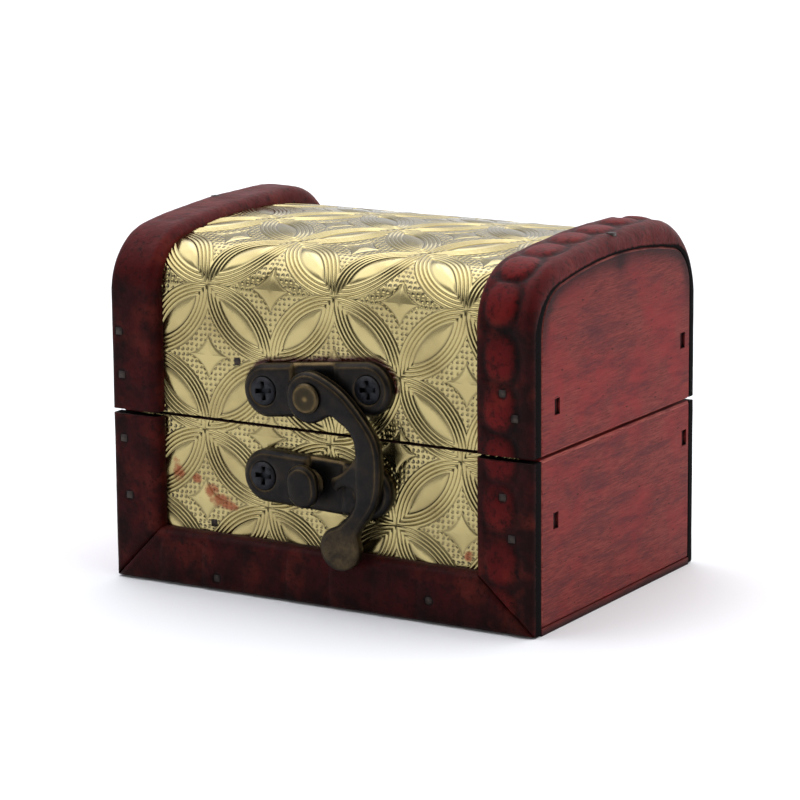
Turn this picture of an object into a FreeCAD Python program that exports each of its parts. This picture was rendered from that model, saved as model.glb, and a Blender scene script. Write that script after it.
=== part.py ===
import FreeCAD, Part
import math
import os

# Keepsake box: a wooden base and an arched lid on two butt hinges. Gold embossed sheet covers the
# front, top and back between leather strips, and a swing clasp closes the front.
# Millimetres, +X to the right, +Y to the back, +Z up. The origin is on the table under the box's middle.

Vector = FreeCAD.Vector
ACROSS = Vector(1, 0, 0)
BACKWARD = Vector(0, 1, 0)
UPWARD = Vector(0, 0, 1)
ORIGIN = Vector(0, 0, 0)

# Box
box_width = 80.0
box_depth = 56.0  # over the leather
base_height = 28.4
seam_gap = 0.5  # between the base's rim and the lid
lid_height = 31.8  # lid's rim to the top of the right leather band
overrun = 1.0  # how far a cutting body passes a face

# Walls
end_thickness = 6.0
panel_thickness = 6.0
bottom_thickness = 1.2
end_bevel = 0.4
end_shoulder = 7.5  # corner radius of the lid's end walls
end_crown = 97.3  # radius of the lid's end walls over the top

# Lid frame
board_thickness = 1.2
cover_rise = 1.6  # bent board's top above the end walls' top
cover_crown = 105.0  # radius of the bent board over the top
rebate_width = 3.0  # how far the bent board lies on each end wall
rail_thickness = 5.0
rail_height = 14.0

# Gold sheet
sheet_thickness = 0.2
sheet_tuck = 6.0  # how far it runs on under the side strips
sheet_low_tuck = 4.0  # and under the bottom strip

# Leather
strip_width = 10.0
bottom_strip_height = 9.3
strip_lift = 0.2  # lower edge above the table
strip_setback = 0.15  # ends short of the rims
front_leather = 2.5
back_leather = 1.6
top_leather = 1.4
left_band_rise = 0.55  # how much higher the left band lies on the lid
leather_front_shoulder = 10.5
leather_back_shoulder = 13.5
leather_crown = 195.0
leather_crest = 5.8  # how far behind the middle the bands are highest
leather_bevel = 0.9

# Brads
brad_width = 1.2
brad_length = 6.0
brad_sink = 0.1
end_brad_width = 1.0
end_brad_height = 2.0
end_brad_length = 10.0
end_brad_sink = 0.5
end_brad_mouth = 0.3  # how much wider the bruised wood is, on each side
fit = 0.03  # room round a fastener in its hole

# Places of the brads: share of a strip's width from its outer edge, share of the height
left_lid_brad_shares = [(0.13, 0.42), (0.17, 0.19)]
right_lid_brad_shares = [(0.56, 0.32), (0.34, 0.20)]
back_lid_brad_shares = [(0.45, 0.12), (0.45, 0.44)]
left_base_brad_shares = [(0.18, 0.85), (0.27, 0.51)]
right_base_brad_shares = [(0.56, 0.79), (0.40, 0.56)]
back_base_brad_shares = [(0.45, 0.50), (0.45, 0.92)]
bottom_brad_shares = [(-0.50, 0.22), (0.52, 0.40)]  # of half the width, of the strip's height
crown_brad_shares = (0.17, 0.016)  # of a strip's width, of the depth behind the middle
lid_sheet_brad_shares = (-0.42, 0.31)  # of half the width, of the lid's height
base_sheet_brad_shares = (-0.55, 0.385)  # of half the width, of the base's height
lid_end_brad_shares = [(0.77, 0.23), (0.32, 0.325)]  # of a wall behind, of the lid's height
base_end_brad_shares = [(0.77, 0.63), (0.33, 0.79)]  # of a wall behind, of the base's height

# Hinges
hinge_inset = 12.0  # from a side strip to the middle of its hinge
leaf_width = 14.0
leaf_height = 8.0
leaf_thickness = 0.8
leaf_corner = 1.2
pin_radius = 0.65
pin_fit = 0.05
knuckle_lift = 0.25  # knuckle above the sheet
knuckle_gap = 0.15
hinge_nail_width = 0.9
hinge_nail_length = 4.5
hinge_nail_head = 1.0
hinge_nail_crown = 0.55
hinge_nail_rise = 0.5
leaf_nail_spread = 8.0
leaf_nail_reach = 5.2  # from the pin

# Clasp plates
plate_length = 28.0
plate_height = 8.8
pad_height = 2.2
channel_floor = 1.4
plate_bevel = 0.7
latch_x = -0.4
latch_rise = 7.1  # above the lid's rim
latch_tilt = 6.1
latch_channel_left = -4.1
latch_channel_right = 4.1
catch_x = -0.6
catch_drop = 8.0  # below the base's rim
catch_tilt = -2.0
catch_channel_left = -1.5
catch_channel_right = 5.3

# Clasp screws
screw_spacing = 20.0
screw_head_radius = 2.35
screw_head_depth = 1.2
screw_rim = 0.25  # ring of shade round the head
screw_radius = 1.1
screw_length = 5.0
cross_length = 3.1
cross_width = 0.8
cross_depth = 0.7

# Clasp rivet and swing arm
rivet_drop = 0.8  # below the plate's middle line
rivet_radius = 1.3
rivet_fit = 0.05
rivet_head_radius = 2.5
rivet_head_height = 0.5
rivet_head_bevel = 0.25
arm_lift = 2.8  # above the sheet
arm_gap = 0.2  # over the channel and under the rivet's head
arm_thickness = 1.9
arm_bevel = 0.5
arm_drop = 24.35  # rivet down to the middle of the tail
eye_radius = 4.2
eye_boss_radius = 3.4
tail_radius = 3.65
nib_thickness = 0.8
tail_shift_share = 0.228  # of the drop, to the right
eye_start_angle = 70.0
eye_end_angle = -55.0
tail_start_angle = 22.0
tail_end_angle = 107.0

# Arm's outline as shares of its drop from the rivet
arm_outer_shares = [(0.257, 0.060), (0.410, -0.093), (0.513, -0.242), (0.542, -0.452),
                    (0.501, -0.686), (0.444, -0.774), (0.374, -0.875)]
arm_inner_shares = [(0.263, -0.803), (0.331, -0.723), (0.357, -0.640), (0.357, -0.500),
                    (0.355, -0.300), (0.308, -0.195), (0.214, -0.129)]
nib_shares = [(0.365, -0.660), (0.300, -0.577), (0.193, -0.614), (0.158, -0.572),
              (0.164, -0.530), (0.263, -0.474), (0.355, -0.370)]
nib_root_share = 0.43  # how far the nib runs on inside the arm
nib_thin_share = 0.19  # thin up to here
nib_thick_share = 0.34  # full thickness from here

# Catch post
post_shift = -1.0
collar_radius = 2.4
collar_height = 0.5
stem_radius = 1.5
head_width = 5.7
head_length = 7.1
head_thickness = 1.3
head_lift = 3.9  # underside above the sheet
head_bevel = 0.6
head_tilt = 8.0

# Planes that the pieces share
half_width = box_width / 2
inner_half = half_width - end_thickness
strip_inner = half_width - strip_width
sheet_half = strip_inner + sheet_tuck
leather_front = -box_depth / 2
leather_back = box_depth / 2
sheet_front = leather_front + front_leather
sheet_back = leather_back - back_leather
wall_front = sheet_front + sheet_thickness
wall_back = sheet_back - sheet_thickness
lid_rim = base_height + seam_gap
lid_top = lid_rim + lid_height
cover_top = lid_top - top_leather - sheet_thickness
wall_top = cover_top - cover_rise
wall_middle = (wall_front + wall_back) / 2
board_half = inner_half + rebate_width
strip_top = strip_lift + bottom_strip_height
sheet_low = strip_top - sheet_low_tuck
knuckle_radius = pin_radius + pin_fit + leaf_thickness
hinge_x = strip_inner - hinge_inset
pin_y = sheet_back + knuckle_lift + knuckle_radius
pin_z = base_height + seam_gap / 2
latch_z = lid_rim + latch_rise
catch_z = base_height - catch_drop
arm_top = arm_lift + arm_thickness

pieces = {}


def block(x0, x1, y0, y1, z0, z1):
    """Block between two corners."""
    return Part.makeBox(x1 - x0, y1 - y0, z1 - z0, Vector(x0, y0, z0))


def line(start, end):
    return Part.LineSegment(start, end).toShape()


def arc(start, middle, end):
    return Part.Arc(start, middle, end).toShape()


def polyline(points):
    return [line(points[i], points[i + 1]) for i in range(len(points) - 1)]


def polygon(points):
    return polyline(points + points[:1])


def prism(edges, path):
    """Solid that a closed outline sweeps along a straight path."""
    return Part.Face(Part.Wire(edges)).extrude(path)


def edges_where(shape, test):
    """Edges whose ends all pass a test of their place."""
    return [edge for edge in shape.Edges if all(test(vertex.Point) for vertex in edge.Vertexes)]


def near(value, place):
    return abs(value - place) < fit / 2


def arch(x0, x1, front, back, low, top, shoulders, crown, crest):
    """Block with straight sides, round shoulders and a gently crowned top."""
    crown_z = top - crown

    def side_points(way, edge, shoulder):
        """One side's foot, its spring, the shoulder's middle and its joint with the crown."""
        reach = way * (edge - crest) - shoulder
        rise = math.sqrt((crown - shoulder) ** 2 - reach ** 2)
        lean = math.atan2(reach, rise)
        half_turn = (math.pi / 2 + lean) / 2
        bend = Vector(x0, crest + way * (reach + shoulder * math.sin(half_turn)),
                      crown_z + rise + shoulder * math.cos(half_turn))
        joint = Vector(x0, crest + way * crown * math.sin(lean), crown_z + crown * math.cos(lean))
        return Vector(x0, edge, low), Vector(x0, edge, crown_z + rise), bend, joint

    front_foot, front_spring, front_bend, front_joint = side_points(-1, front, shoulders[0])
    back_foot, back_spring, back_bend, back_joint = side_points(1, back, shoulders[1])
    outline = [line(front_foot, front_spring), arc(front_spring, front_bend, front_joint),
               arc(front_joint, Vector(x0, crest, top), back_joint),
               arc(back_joint, back_bend, back_spring), line(back_spring, back_foot),
               line(back_foot, front_foot)]
    return prism(outline, ACROSS * (x1 - x0))


def wall_arch(x0, x1, low):
    """Outline of the lid's end walls."""
    return arch(x0, x1, wall_front, wall_back, low, wall_top, (end_shoulder, end_shoulder),
                end_crown, wall_middle)


def cover_arch(x0, x1, grow, low):
    """Outer outline of the bent board, grown outward on every side but the lower one."""
    shoulder = end_shoulder + grow
    return arch(x0, x1, wall_front - grow, wall_back + grow, low, cover_top + grow, (shoulder, shoulder),
                cover_crown + grow, wall_middle)


def mirrored(shape):
    """The same piece on the other side of the box."""
    return shape.mirror(ORIGIN, ACROSS)


def peg(point, direction, width, height, length, sink):
    """Square pin from a surface point inward, with its head below the surface by its sink."""
    pin = block(-width / 2, width / 2, -height / 2, height / 2, sink, length)
    pin.Placement = FreeCAD.Placement(point, FreeCAD.Rotation(UPWARD, direction))
    return pin


def on_front(shape, x, z, tilt):
    """Set a piece that lies in XY, facing +Z, upright on the front sheet."""
    shape = shape.copy()
    shape.rotate(ORIGIN, UPWARD, tilt)
    shape.rotate(ORIGIN, ACROSS, 90)
    shape.translate(Vector(x, sheet_front, z))
    return shape


def drilled(piece, holes):
    """A piece with every hole that reaches it."""
    reaching = [hole for hole in holes if piece.BoundBox.intersect(hole.BoundBox)]
    return piece.cut(reaching) if reaching else piece


base_holes, lid_holes = [], []


def add_brads(name, holes, places):
    """Brads through leather or sheet, each from a surface point inward, and their holes."""
    pins = []
    for point, direction in places:
        pins.append(peg(point, direction, brad_width, brad_width, brad_length, brad_sink))
        wide = brad_width + 2 * fit
        holes.append(peg(point, direction, wide, wide, brad_length + fit, -overrun))
    pieces[name] = Part.makeCompound(pins)


def strip_places(shares, side, face, direction, low, height):
    """Surface points on an upright strip."""
    return [(Vector(side * (half_width - across * strip_width), face, low + up * height), direction)
            for across, up in shares]


# Brads of the leather and the sheet
INWARD, FORWARD, DOWNWARD = BACKWARD, BACKWARD * -1, UPWARD * -1
lid_places = strip_places(left_lid_brad_shares, -1, leather_front, INWARD, lid_rim, lid_height)
lid_places += strip_places(right_lid_brad_shares, 1, leather_front, INWARD, lid_rim, lid_height)
base_places = strip_places(left_base_brad_shares, -1, leather_front, INWARD, 0, base_height)
base_places += strip_places(right_base_brad_shares, 1, leather_front, INWARD, 0, base_height)
for side in (-1, 1):
    lid_places += strip_places(back_lid_brad_shares, side, leather_back, FORWARD, lid_rim, lid_height)
    crown_z = lid_top + (left_band_rise if side < 0 else 0)
    crown_x = side * (half_width - crown_brad_shares[0] * strip_width)
    lid_places.append((Vector(crown_x, crown_brad_shares[1] * box_depth, crown_z), DOWNWARD))
    base_places += strip_places(back_base_brad_shares, side, leather_back, FORWARD, 0, base_height)
for face, direction in ((leather_front, INWARD), (leather_back, FORWARD)):
    for across, up in bottom_brad_shares:
        point = Vector(across * half_width, face, strip_lift + up * bottom_strip_height)
        base_places.append((point, direction))
across, up = lid_sheet_brad_shares
lid_places.append((Vector(across * half_width, sheet_front, lid_rim + up * lid_height), INWARD))
across, up = base_sheet_brad_shares
base_places.append((Vector(across * half_width, sheet_front, up * base_height), INWARD))
add_brads("base_trim_brads", base_holes, base_places)
add_brads("lid_trim_brads", lid_holes, lid_places)


def add_end_brads(name, holes, shares, front, back, thickness, low, height):
    """Brads through the end walls into the front and back pieces between them."""
    (front_in, front_up), (back_in, back_up) = shares
    places = [(front + front_in * thickness, low + front_up * height),
              (back - back_in * thickness, low + back_up * height)]
    pins = []
    for side in (-1, 1):
        for y, z in places:
            point, direction = Vector(side * half_width, y, z), ACROSS * -side
            pins.append(peg(point, direction, end_brad_height, end_brad_width, end_brad_length,
                            end_brad_sink))
            tall, wide = end_brad_height + 2 * fit, end_brad_width + 2 * fit
            holes.append(peg(point, direction, tall, wide, end_brad_length + fit, -overrun))
            tall, wide = tall + 2 * end_brad_mouth, wide + 2 * end_brad_mouth
            holes.append(peg(point, direction, tall, wide, end_brad_sink, -overrun))
    pieces[name] = Part.makeCompound(pins)


rail_front = wall_front + board_thickness
rail_back = wall_back - board_thickness
add_end_brads("base_end_brads", base_holes, base_end_brad_shares, wall_front, wall_back, panel_thickness,
              0, base_height)
add_end_brads("lid_end_brads", lid_holes, lid_end_brad_shares, rail_front, rail_back, rail_thickness,
              lid_rim, lid_height)


def stadium(length, height, depth):
    """Plate with straight long edges and half-round ends."""
    radius, reach = height / 2, (length - height) / 2
    low_left, low_right = Vector(-reach, -radius, 0), Vector(reach, -radius, 0)
    high_left, high_right = Vector(-reach, radius, 0), Vector(reach, radius, 0)
    outline = [line(low_left, low_right), arc(low_right, Vector(length / 2, 0, 0), high_right),
               line(high_right, high_left), arc(high_left, Vector(-length / 2, 0, 0), low_left)]
    return prism(outline, UPWARD * depth)


def clasp_screw(x):
    """Countersunk screw with a cross recess, flush with the plate's pad."""
    under = pad_height - screw_head_depth
    head = Part.makeCone(screw_radius, screw_head_radius, screw_head_depth, Vector(x, 0, under))
    shank = Part.makeCylinder(screw_radius, screw_length, Vector(x, 0, under - screw_length))
    screw = head.fuse(shank).removeSplitter()
    for long_x, long_y in ((cross_length, cross_width), (cross_width, cross_length)):
        screw = screw.cut(block(x - long_x / 2, x + long_x / 2, -long_y / 2, long_y / 2,
                                pad_height - cross_depth, pad_height + overrun))
    return screw


def clasp_plate(channel_left, channel_right):
    """Cast plate with two raised screw pads and a channel between them."""
    plate = stadium(plate_length, plate_height, pad_height)
    plate = plate.makeChamfer(plate_bevel, edges_where(plate, lambda point: near(point.z, pad_height)))
    plate = plate.cut(block(channel_left, channel_right, -plate_height, plate_height,
                            channel_floor, pad_height + overrun))
    for x in (-screw_spacing / 2, screw_spacing / 2):
        under = pad_height - screw_head_depth - fit
        seat = Part.makeCone(screw_radius + screw_rim, screw_head_radius + screw_rim, screw_head_depth + fit,
                             Vector(x, 0, under))
        bore = Part.makeCylinder(screw_radius + fit, pad_height, Vector(x, 0, 0))
        plate = plate.cut([seat, bore])
    return plate


def add_screws(name, holes, x, z, tilt):
    """The two screws of a clasp plate, and their holes in what lies behind it."""
    screws = []
    for spot in (-screw_spacing / 2, screw_spacing / 2):
        screws.append(on_front(clasp_screw(spot), x, z, tilt))
        deep = screw_length + screw_head_depth - pad_height + fit
        hole = Part.makeCylinder(screw_radius + fit, deep + overrun, Vector(spot, 0, -deep))
        holes.append(on_front(hole, x, z, tilt))
    pieces[name] = Part.makeCompound(screws)


# Clasp: upper plate with its rivet
add_screws("latch_screws", lid_holes, latch_x, latch_z, latch_tilt)
rivet_hole = Part.makeCylinder(rivet_radius + fit, pad_height, Vector(0, -rivet_drop, 0))
latch_plate = clasp_plate(latch_channel_left, latch_channel_right).cut(rivet_hole)
pieces["latch_plate"] = on_front(latch_plate, latch_x, latch_z, latch_tilt)
rivet_x = latch_x + rivet_drop * math.sin(math.radians(latch_tilt))
rivet_z = latch_z - rivet_drop * math.cos(math.radians(latch_tilt))
head_seat = arm_top + arm_gap
rivet = Part.makeCylinder(rivet_radius, head_seat, ORIGIN)
rivet_head = Part.makeCylinder(rivet_head_radius, rivet_head_height, Vector(0, 0, head_seat))
rivet_head = rivet_head.makeChamfer(
    rivet_head_bevel, edges_where(rivet_head, lambda point: near(point.z, head_seat + rivet_head_height)))
pieces["latch_rivet"] = on_front(rivet.fuse(rivet_head).removeSplitter(), rivet_x, rivet_z, 0)


def polar(centre, radius, angle):
    """Point on a circle in the arm's plane."""
    turn = math.radians(angle)
    return centre + Vector(radius * math.cos(turn), radius * math.sin(turn), 0)


def heading(angle):
    """Clockwise direction on a circle in the arm's plane."""
    turn = math.radians(angle)
    return Vector(math.sin(turn), -math.cos(turn), 0)


def arm_points(shares):
    return [Vector(x * arm_drop, y * arm_drop, 0) for x, y in shares]


def curve(points, first, last):
    """Smooth curve through points, with its directions at both ends."""
    spline = Part.BSplineCurve()
    spline.interpolate(Points=points, InitialTangent=first, FinalTangent=last)
    return spline.toShape()


def arm_body():
    """Eye, curved arm and round tail in one smooth outline, its front edge bevelled."""
    tail = Vector(tail_shift_share * arm_drop, -arm_drop, 0)
    eye_start = polar(ORIGIN, eye_radius, eye_start_angle)
    eye_end = polar(ORIGIN, eye_radius, eye_end_angle)
    tail_start = polar(tail, tail_radius, tail_start_angle)
    tail_end = polar(tail, tail_radius, tail_end_angle)
    outer = [eye_start] + arm_points(arm_outer_shares) + [tail_start]
    inner = [tail_end] + arm_points(arm_inner_shares) + [eye_end]
    tail_far = polar(tail, tail_radius, (tail_start_angle + tail_end_angle) / 2 + 180)
    eye_far = polar(ORIGIN, eye_radius, (eye_start_angle + eye_end_angle) / 2 + 180)
    outline = [curve(outer, heading(eye_start_angle), heading(tail_start_angle)),
               arc(tail_start, tail_far, tail_end),
               curve(inner, heading(tail_end_angle), heading(eye_end_angle)),
               arc(eye_end, eye_far, eye_start)]
    body = prism(outline, UPWARD * arm_thickness)
    return body.makeChamfer(arm_bevel, edges_where(body, lambda point: near(point.z, arm_thickness)))


def arm_nib():
    """Hooked nib that thins towards its tip, so that it passes behind the post's head."""
    points = arm_points(nib_shares)
    low, high = points[0], points[-1]
    root = nib_root_share * arm_drop
    outline = [arc(*points[i:i + 3]) for i in range(0, len(points) - 2, 2)]
    outline += polyline([high, Vector(root, high.y, 0), Vector(root, low.y, 0), low])
    nib = prism(outline, UPWARD * arm_thickness)
    thin, thick = nib_thin_share * arm_drop, nib_thick_share * arm_drop
    full, far, beyond = arm_thickness - arm_bevel, arm_thickness + overrun, root + overrun
    profile = [(0, nib_thickness), (thin, nib_thickness), (thick, full),
               (beyond, full), (beyond, far), (0, far)]
    relief = prism(polygon([Vector(x, -arm_drop, z) for x, z in profile]), BACKWARD * arm_drop)
    return nib.cut(relief)


def swing_arm():
    """Flat hook with a boss under its eye that runs in the plate's channel."""
    arm = arm_body().fuse(arm_nib())
    arm.translate(UPWARD * arm_lift)
    boss_low = channel_floor + arm_gap
    boss = Part.makeCylinder(eye_boss_radius, arm_lift - boss_low, Vector(0, 0, boss_low))
    bore = Part.makeCylinder(rivet_radius + rivet_fit, arm_top, ORIGIN)
    return arm.fuse(boss).removeSplitter().cut(bore)


pieces["swing_arm"] = on_front(swing_arm(), rivet_x, rivet_z, 0)

# Clasp: lower plate with its headed post
add_screws("catch_screws", base_holes, catch_x, catch_z, catch_tilt)
stem_hole = Part.makeCylinder(stem_radius + fit, pad_height + overrun, Vector(post_shift, 0, 0))
collar_hole = Part.makeCylinder(collar_radius + fit, pad_height, Vector(post_shift, 0, channel_floor))
catch_plate = clasp_plate(catch_channel_left, catch_channel_right).cut([stem_hole, collar_hole])
pieces["catch_plate"] = on_front(catch_plate, catch_x, catch_z, catch_tilt)
stem = Part.makeCylinder(stem_radius, head_lift, ORIGIN)
collar = Part.makeCylinder(collar_radius, collar_height, Vector(0, 0, channel_floor))
head = stadium(head_length, head_width, head_thickness)
head = head.makeChamfer(head_bevel, edges_where(head, lambda point: near(point.z, head_thickness)))
head.rotate(ORIGIN, UPWARD, 90 + head_tilt)
head.translate(UPWARD * head_lift)
post = stem.fuse([collar, head]).removeSplitter()
post.translate(ACROSS * post_shift)
pieces["catch_post"] = on_front(post, catch_x, catch_z, catch_tilt)


def knuckle(x0, x1, radius):
    """Round bar along the hinge's pin."""
    return Part.makeCylinder(radius, x1 - x0, Vector(x0, pin_y, pin_z), ACROSS)


def hinge_leaf(middle, side):
    """Leaf of a butt hinge: the lid's goes up and has the middle knuckle, the base's has the outer two."""
    left, right = middle - leaf_width / 2, middle + leaf_width / 2
    inner_left, inner_right = middle - leaf_width / 6, middle + leaf_width / 6
    far = pin_z + side * leaf_height
    leaf = block(left, right, sheet_back, sheet_back + leaf_thickness, min(pin_z, far), max(pin_z, far))
    leaf = leaf.makeFillet(leaf_corner, [
        edge for edge in edges_where(leaf, lambda point: near(point.z, far)) if edge.BoundBox.YLength > fit
        and edge.BoundBox.XLength < fit])
    outer = [(left, inner_left - knuckle_gap), (inner_right + knuckle_gap, right)]
    centre = [(inner_left, inner_right)]
    own, other = (centre, outer) if side > 0 else (outer, centre)
    clear = knuckle_radius + knuckle_gap
    for x0, x1 in other:
        leaf = leaf.cut(block(x0 - knuckle_gap, x1 + knuckle_gap, sheet_back - overrun,
                              sheet_back + leaf_thickness + overrun, pin_z - clear, pin_z + clear))
    leaf = leaf.fuse([knuckle(x0, x1, knuckle_radius) for x0, x1 in own]).removeSplitter()
    return leaf.cut(knuckle(left - overrun, right + overrun, pin_radius + pin_fit))


def leaf_nails(middle, side):
    """Places of a leaf's two nails."""
    return [(middle + way * leaf_nail_spread / 2, pin_z + side * leaf_nail_reach) for way in (-1, 1)]


def add_hinge_nails(name, holes, side):
    """Cone-headed cut nails of both hinges' leaves on one side, and their holes."""
    nails = []
    for middle in (-hinge_x, hinge_x):
        for x, z in leaf_nails(middle, side):
            point = Vector(x, sheet_back + leaf_thickness, z)
            shank = peg(point, FORWARD, hinge_nail_width, hinge_nail_width, hinge_nail_length, 0)
            head = Part.makeCone(hinge_nail_head, hinge_nail_crown, hinge_nail_rise, point, BACKWARD)
            nails.append(shank.fuse(head).removeSplitter())
            wide = hinge_nail_width + 2 * fit
            holes.append(peg(point, FORWARD, wide, wide, hinge_nail_length + fit, -overrun))
    pieces[name] = Part.makeCompound(nails)


# Hinges
add_hinge_nails("base_hinge_nails", base_holes, -1)
add_hinge_nails("lid_hinge_nails", lid_holes, 1)
for side, middle in (("left", -hinge_x), ("right", hinge_x)):
    pieces[side + "_hinge_base_leaf"] = drilled(hinge_leaf(middle, -1), base_holes)
    pieces[side + "_hinge_lid_leaf"] = drilled(hinge_leaf(middle, 1), lid_holes)
pieces["hinge_pins"] = Part.makeCompound([
    knuckle(middle - leaf_width / 2, middle + leaf_width / 2, pin_radius)
    for middle in (-hinge_x, hinge_x)])


def base_end():
    """Right end wall of the base, its outer edges eased."""
    wall = block(inner_half, half_width, wall_front, wall_back, bottom_thickness, base_height)
    return wall.makeChamfer(end_bevel, edges_where(wall, lambda point: near(point.x, half_width)))


# Base walls
pieces["bottom_board"] = block(-half_width, half_width, wall_front, wall_back, 0, bottom_thickness)
pieces["base_right_end"] = drilled(base_end(), base_holes)
pieces["base_left_end"] = drilled(mirrored(base_end()), base_holes)
front_panel = block(-inner_half, inner_half, wall_front, wall_front + panel_thickness,
                    bottom_thickness, base_height)
back_panel = block(-inner_half, inner_half, wall_back - panel_thickness, wall_back,
                   bottom_thickness, base_height)
pieces["base_front_panel"] = drilled(front_panel, base_holes)
pieces["base_back_panel"] = drilled(back_panel, base_holes)

# Gold sheet on the base
front_sheet = block(-sheet_half, sheet_half, sheet_front, wall_front, sheet_low, base_height)
back_sheet = block(-sheet_half, sheet_half, wall_back, sheet_back, sheet_low, base_height)
pieces["base_front_sheet"] = drilled(front_sheet, base_holes)
pieces["base_back_sheet"] = drilled(back_sheet, base_holes)


def leather_bar(corners, seat, face):
    """Flat leather strip on a wall, its outer edges bevelled, also along a mitre."""
    points = [Vector(x, seat, z) for x, z in corners]
    bar = prism(polygon(points), BACKWARD * (face - seat))
    return bar.makeChamfer(leather_bevel, edges_where(bar, lambda point: near(point.y, face)))


def add_base_leather(where, seat, face, sheet):
    """Two upright strips and the bottom strip of one side of the base, mitred where they meet."""
    top = base_height - strip_setback
    right = leather_bar([(half_width, strip_lift), (half_width, top), (strip_inner, top),
                         (strip_inner, strip_top)], seat, face)
    bottom = leather_bar([(-half_width, strip_lift), (half_width, strip_lift), (strip_inner, strip_top),
                          (-strip_inner, strip_top)], seat, face)
    for name, strip in (("right", right), ("left", mirrored(right)), ("bottom", bottom)):
        pieces["base_%s_%s_strip" % (where, name)] = drilled(strip.cut(sheet), base_holes)


# Leather on the base
add_base_leather("front", wall_front, leather_front, front_sheet)
add_base_leather("back", wall_back, leather_back, back_sheet)


def lid_end():
    """Right end wall of the lid, arched, with a rebate on its inner side for the bent board."""
    outer = wall_arch(board_half, half_width, lid_rim)
    outer = outer.makeChamfer(end_bevel, edges_where(outer, lambda point: near(point.x, half_width)))
    return outer.fuse(cover_arch(inner_half, board_half, -board_thickness, lid_rim)).removeSplitter()


# Lid frame
pieces["lid_right_end"] = drilled(lid_end(), lid_holes)
pieces["lid_left_end"] = drilled(mirrored(lid_end()), lid_holes)
rail_top = lid_rim + rail_height
front_rail = block(-inner_half, inner_half, rail_front, rail_front + rail_thickness, lid_rim, rail_top)
back_rail = block(-inner_half, inner_half, rail_back - rail_thickness, rail_back, lid_rim, rail_top)
pieces["lid_front_rail"] = drilled(front_rail, lid_holes)
pieces["lid_back_rail"] = drilled(back_rail, lid_holes)
top_board = cover_arch(-board_half, board_half, 0, lid_rim)
top_board = top_board.cut(cover_arch(-board_half, board_half, -board_thickness, lid_rim - overrun))
pieces["lid_top_board"] = drilled(top_board, lid_holes)

# Gold sheet on the lid
lid_sheet = cover_arch(-sheet_half, sheet_half, sheet_thickness, lid_rim)
lid_sheet = lid_sheet.cut(cover_arch(-sheet_half, sheet_half, 0, lid_rim - overrun))
pieces["lid_sheet"] = drilled(lid_sheet, lid_holes)


def lid_strip(rise):
    """Right leather band over the lid, its outer edges bevelled, folded down over the board's end."""
    low = lid_rim + strip_setback
    band = arch(strip_inner, half_width, leather_front, leather_back, low, lid_top + rise,
                (leather_front_shoulder, leather_back_shoulder), leather_crown, leather_crest)
    rims = [edge for edge in band.Edges if edge.BoundBox.XLength < fit and edge.BoundBox.ZLength > fit]
    feet = edges_where(band, lambda point: near(point.z, low))
    ends = [edge for edge in feet if edge.BoundBox.XLength > fit]
    band = band.makeChamfer(leather_bevel, rims + ends)
    return band.cut([wall_arch(board_half, half_width + overrun, low - overrun),
                     cover_arch(strip_inner - overrun, board_half, 0, low - overrun), lid_sheet])


# Leather on the lid
pieces["lid_right_strip"] = drilled(lid_strip(0), lid_holes)
pieces["lid_left_strip"] = drilled(mirrored(lid_strip(left_band_rise)), lid_holes)

os.makedirs("parts", exist_ok=True)
for name, shape in pieces.items():
    shape.exportStep("parts/" + name + ".step")
    facts = (name, len(shape.Solids), shape.isValid(), shape.Volume)
    print("%-26s solids %2d  valid %s  volume %9.3f" % facts)
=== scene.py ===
"""Looks of a small keepsake box: pressed gold sheets, leather trim, stained wood, a bronze swing clasp."""

import math
from collections import namedtuple
from functools import partial

import bmesh
import bpy
import numpy as np
from bpy.props import FloatProperty, FloatVectorProperty, IntProperty, PointerProperty
from mathutils import Matrix, Vector, noise
from mathutils.bvhtree import BVHTree


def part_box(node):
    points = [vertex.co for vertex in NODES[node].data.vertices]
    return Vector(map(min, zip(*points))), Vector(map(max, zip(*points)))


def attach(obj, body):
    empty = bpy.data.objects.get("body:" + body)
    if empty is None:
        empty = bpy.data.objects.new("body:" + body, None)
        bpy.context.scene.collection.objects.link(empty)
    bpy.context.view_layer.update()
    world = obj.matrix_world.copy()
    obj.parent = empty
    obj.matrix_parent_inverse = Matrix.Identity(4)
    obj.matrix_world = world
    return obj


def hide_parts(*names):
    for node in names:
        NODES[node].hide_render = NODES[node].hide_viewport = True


bl_info = {
    "name": "Keepsake Box",
    "version": (1, 0, 0),
    "blender": (4, 5, 0),
    "location": "3D View > Sidebar > Keepsake Box",
    "description": "Dresses the frame of a keepsake box with gold sheet, leather, wood and bronze",
    "category": "Object",
}

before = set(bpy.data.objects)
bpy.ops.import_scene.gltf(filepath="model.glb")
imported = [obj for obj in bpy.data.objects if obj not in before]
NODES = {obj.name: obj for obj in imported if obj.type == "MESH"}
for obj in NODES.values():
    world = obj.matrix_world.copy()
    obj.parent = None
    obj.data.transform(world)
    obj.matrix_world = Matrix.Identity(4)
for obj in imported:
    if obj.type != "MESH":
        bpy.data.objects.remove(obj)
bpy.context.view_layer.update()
MM = 0.001


def linear(hex_colour):
    """Linear RGBA of an sRGB hex colour."""
    channels = [int(hex_colour[i : i + 2], 16) / 255 for i in (1, 3, 5)]
    return (*[c / 12.92 if c <= 0.04045 else ((c + 0.055) / 1.055) ** 2.4 for c in channels], 1.0)


def number(name, description, default):
    """A plain number property."""
    return FloatProperty(name=name, description=description, default=default)


def length(name, description, millimetres):
    """A length property with its default in millimetres."""
    default = millimetres * MM
    return FloatProperty(name=name, description=description, default=default, precision=5, unit="LENGTH")


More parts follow.
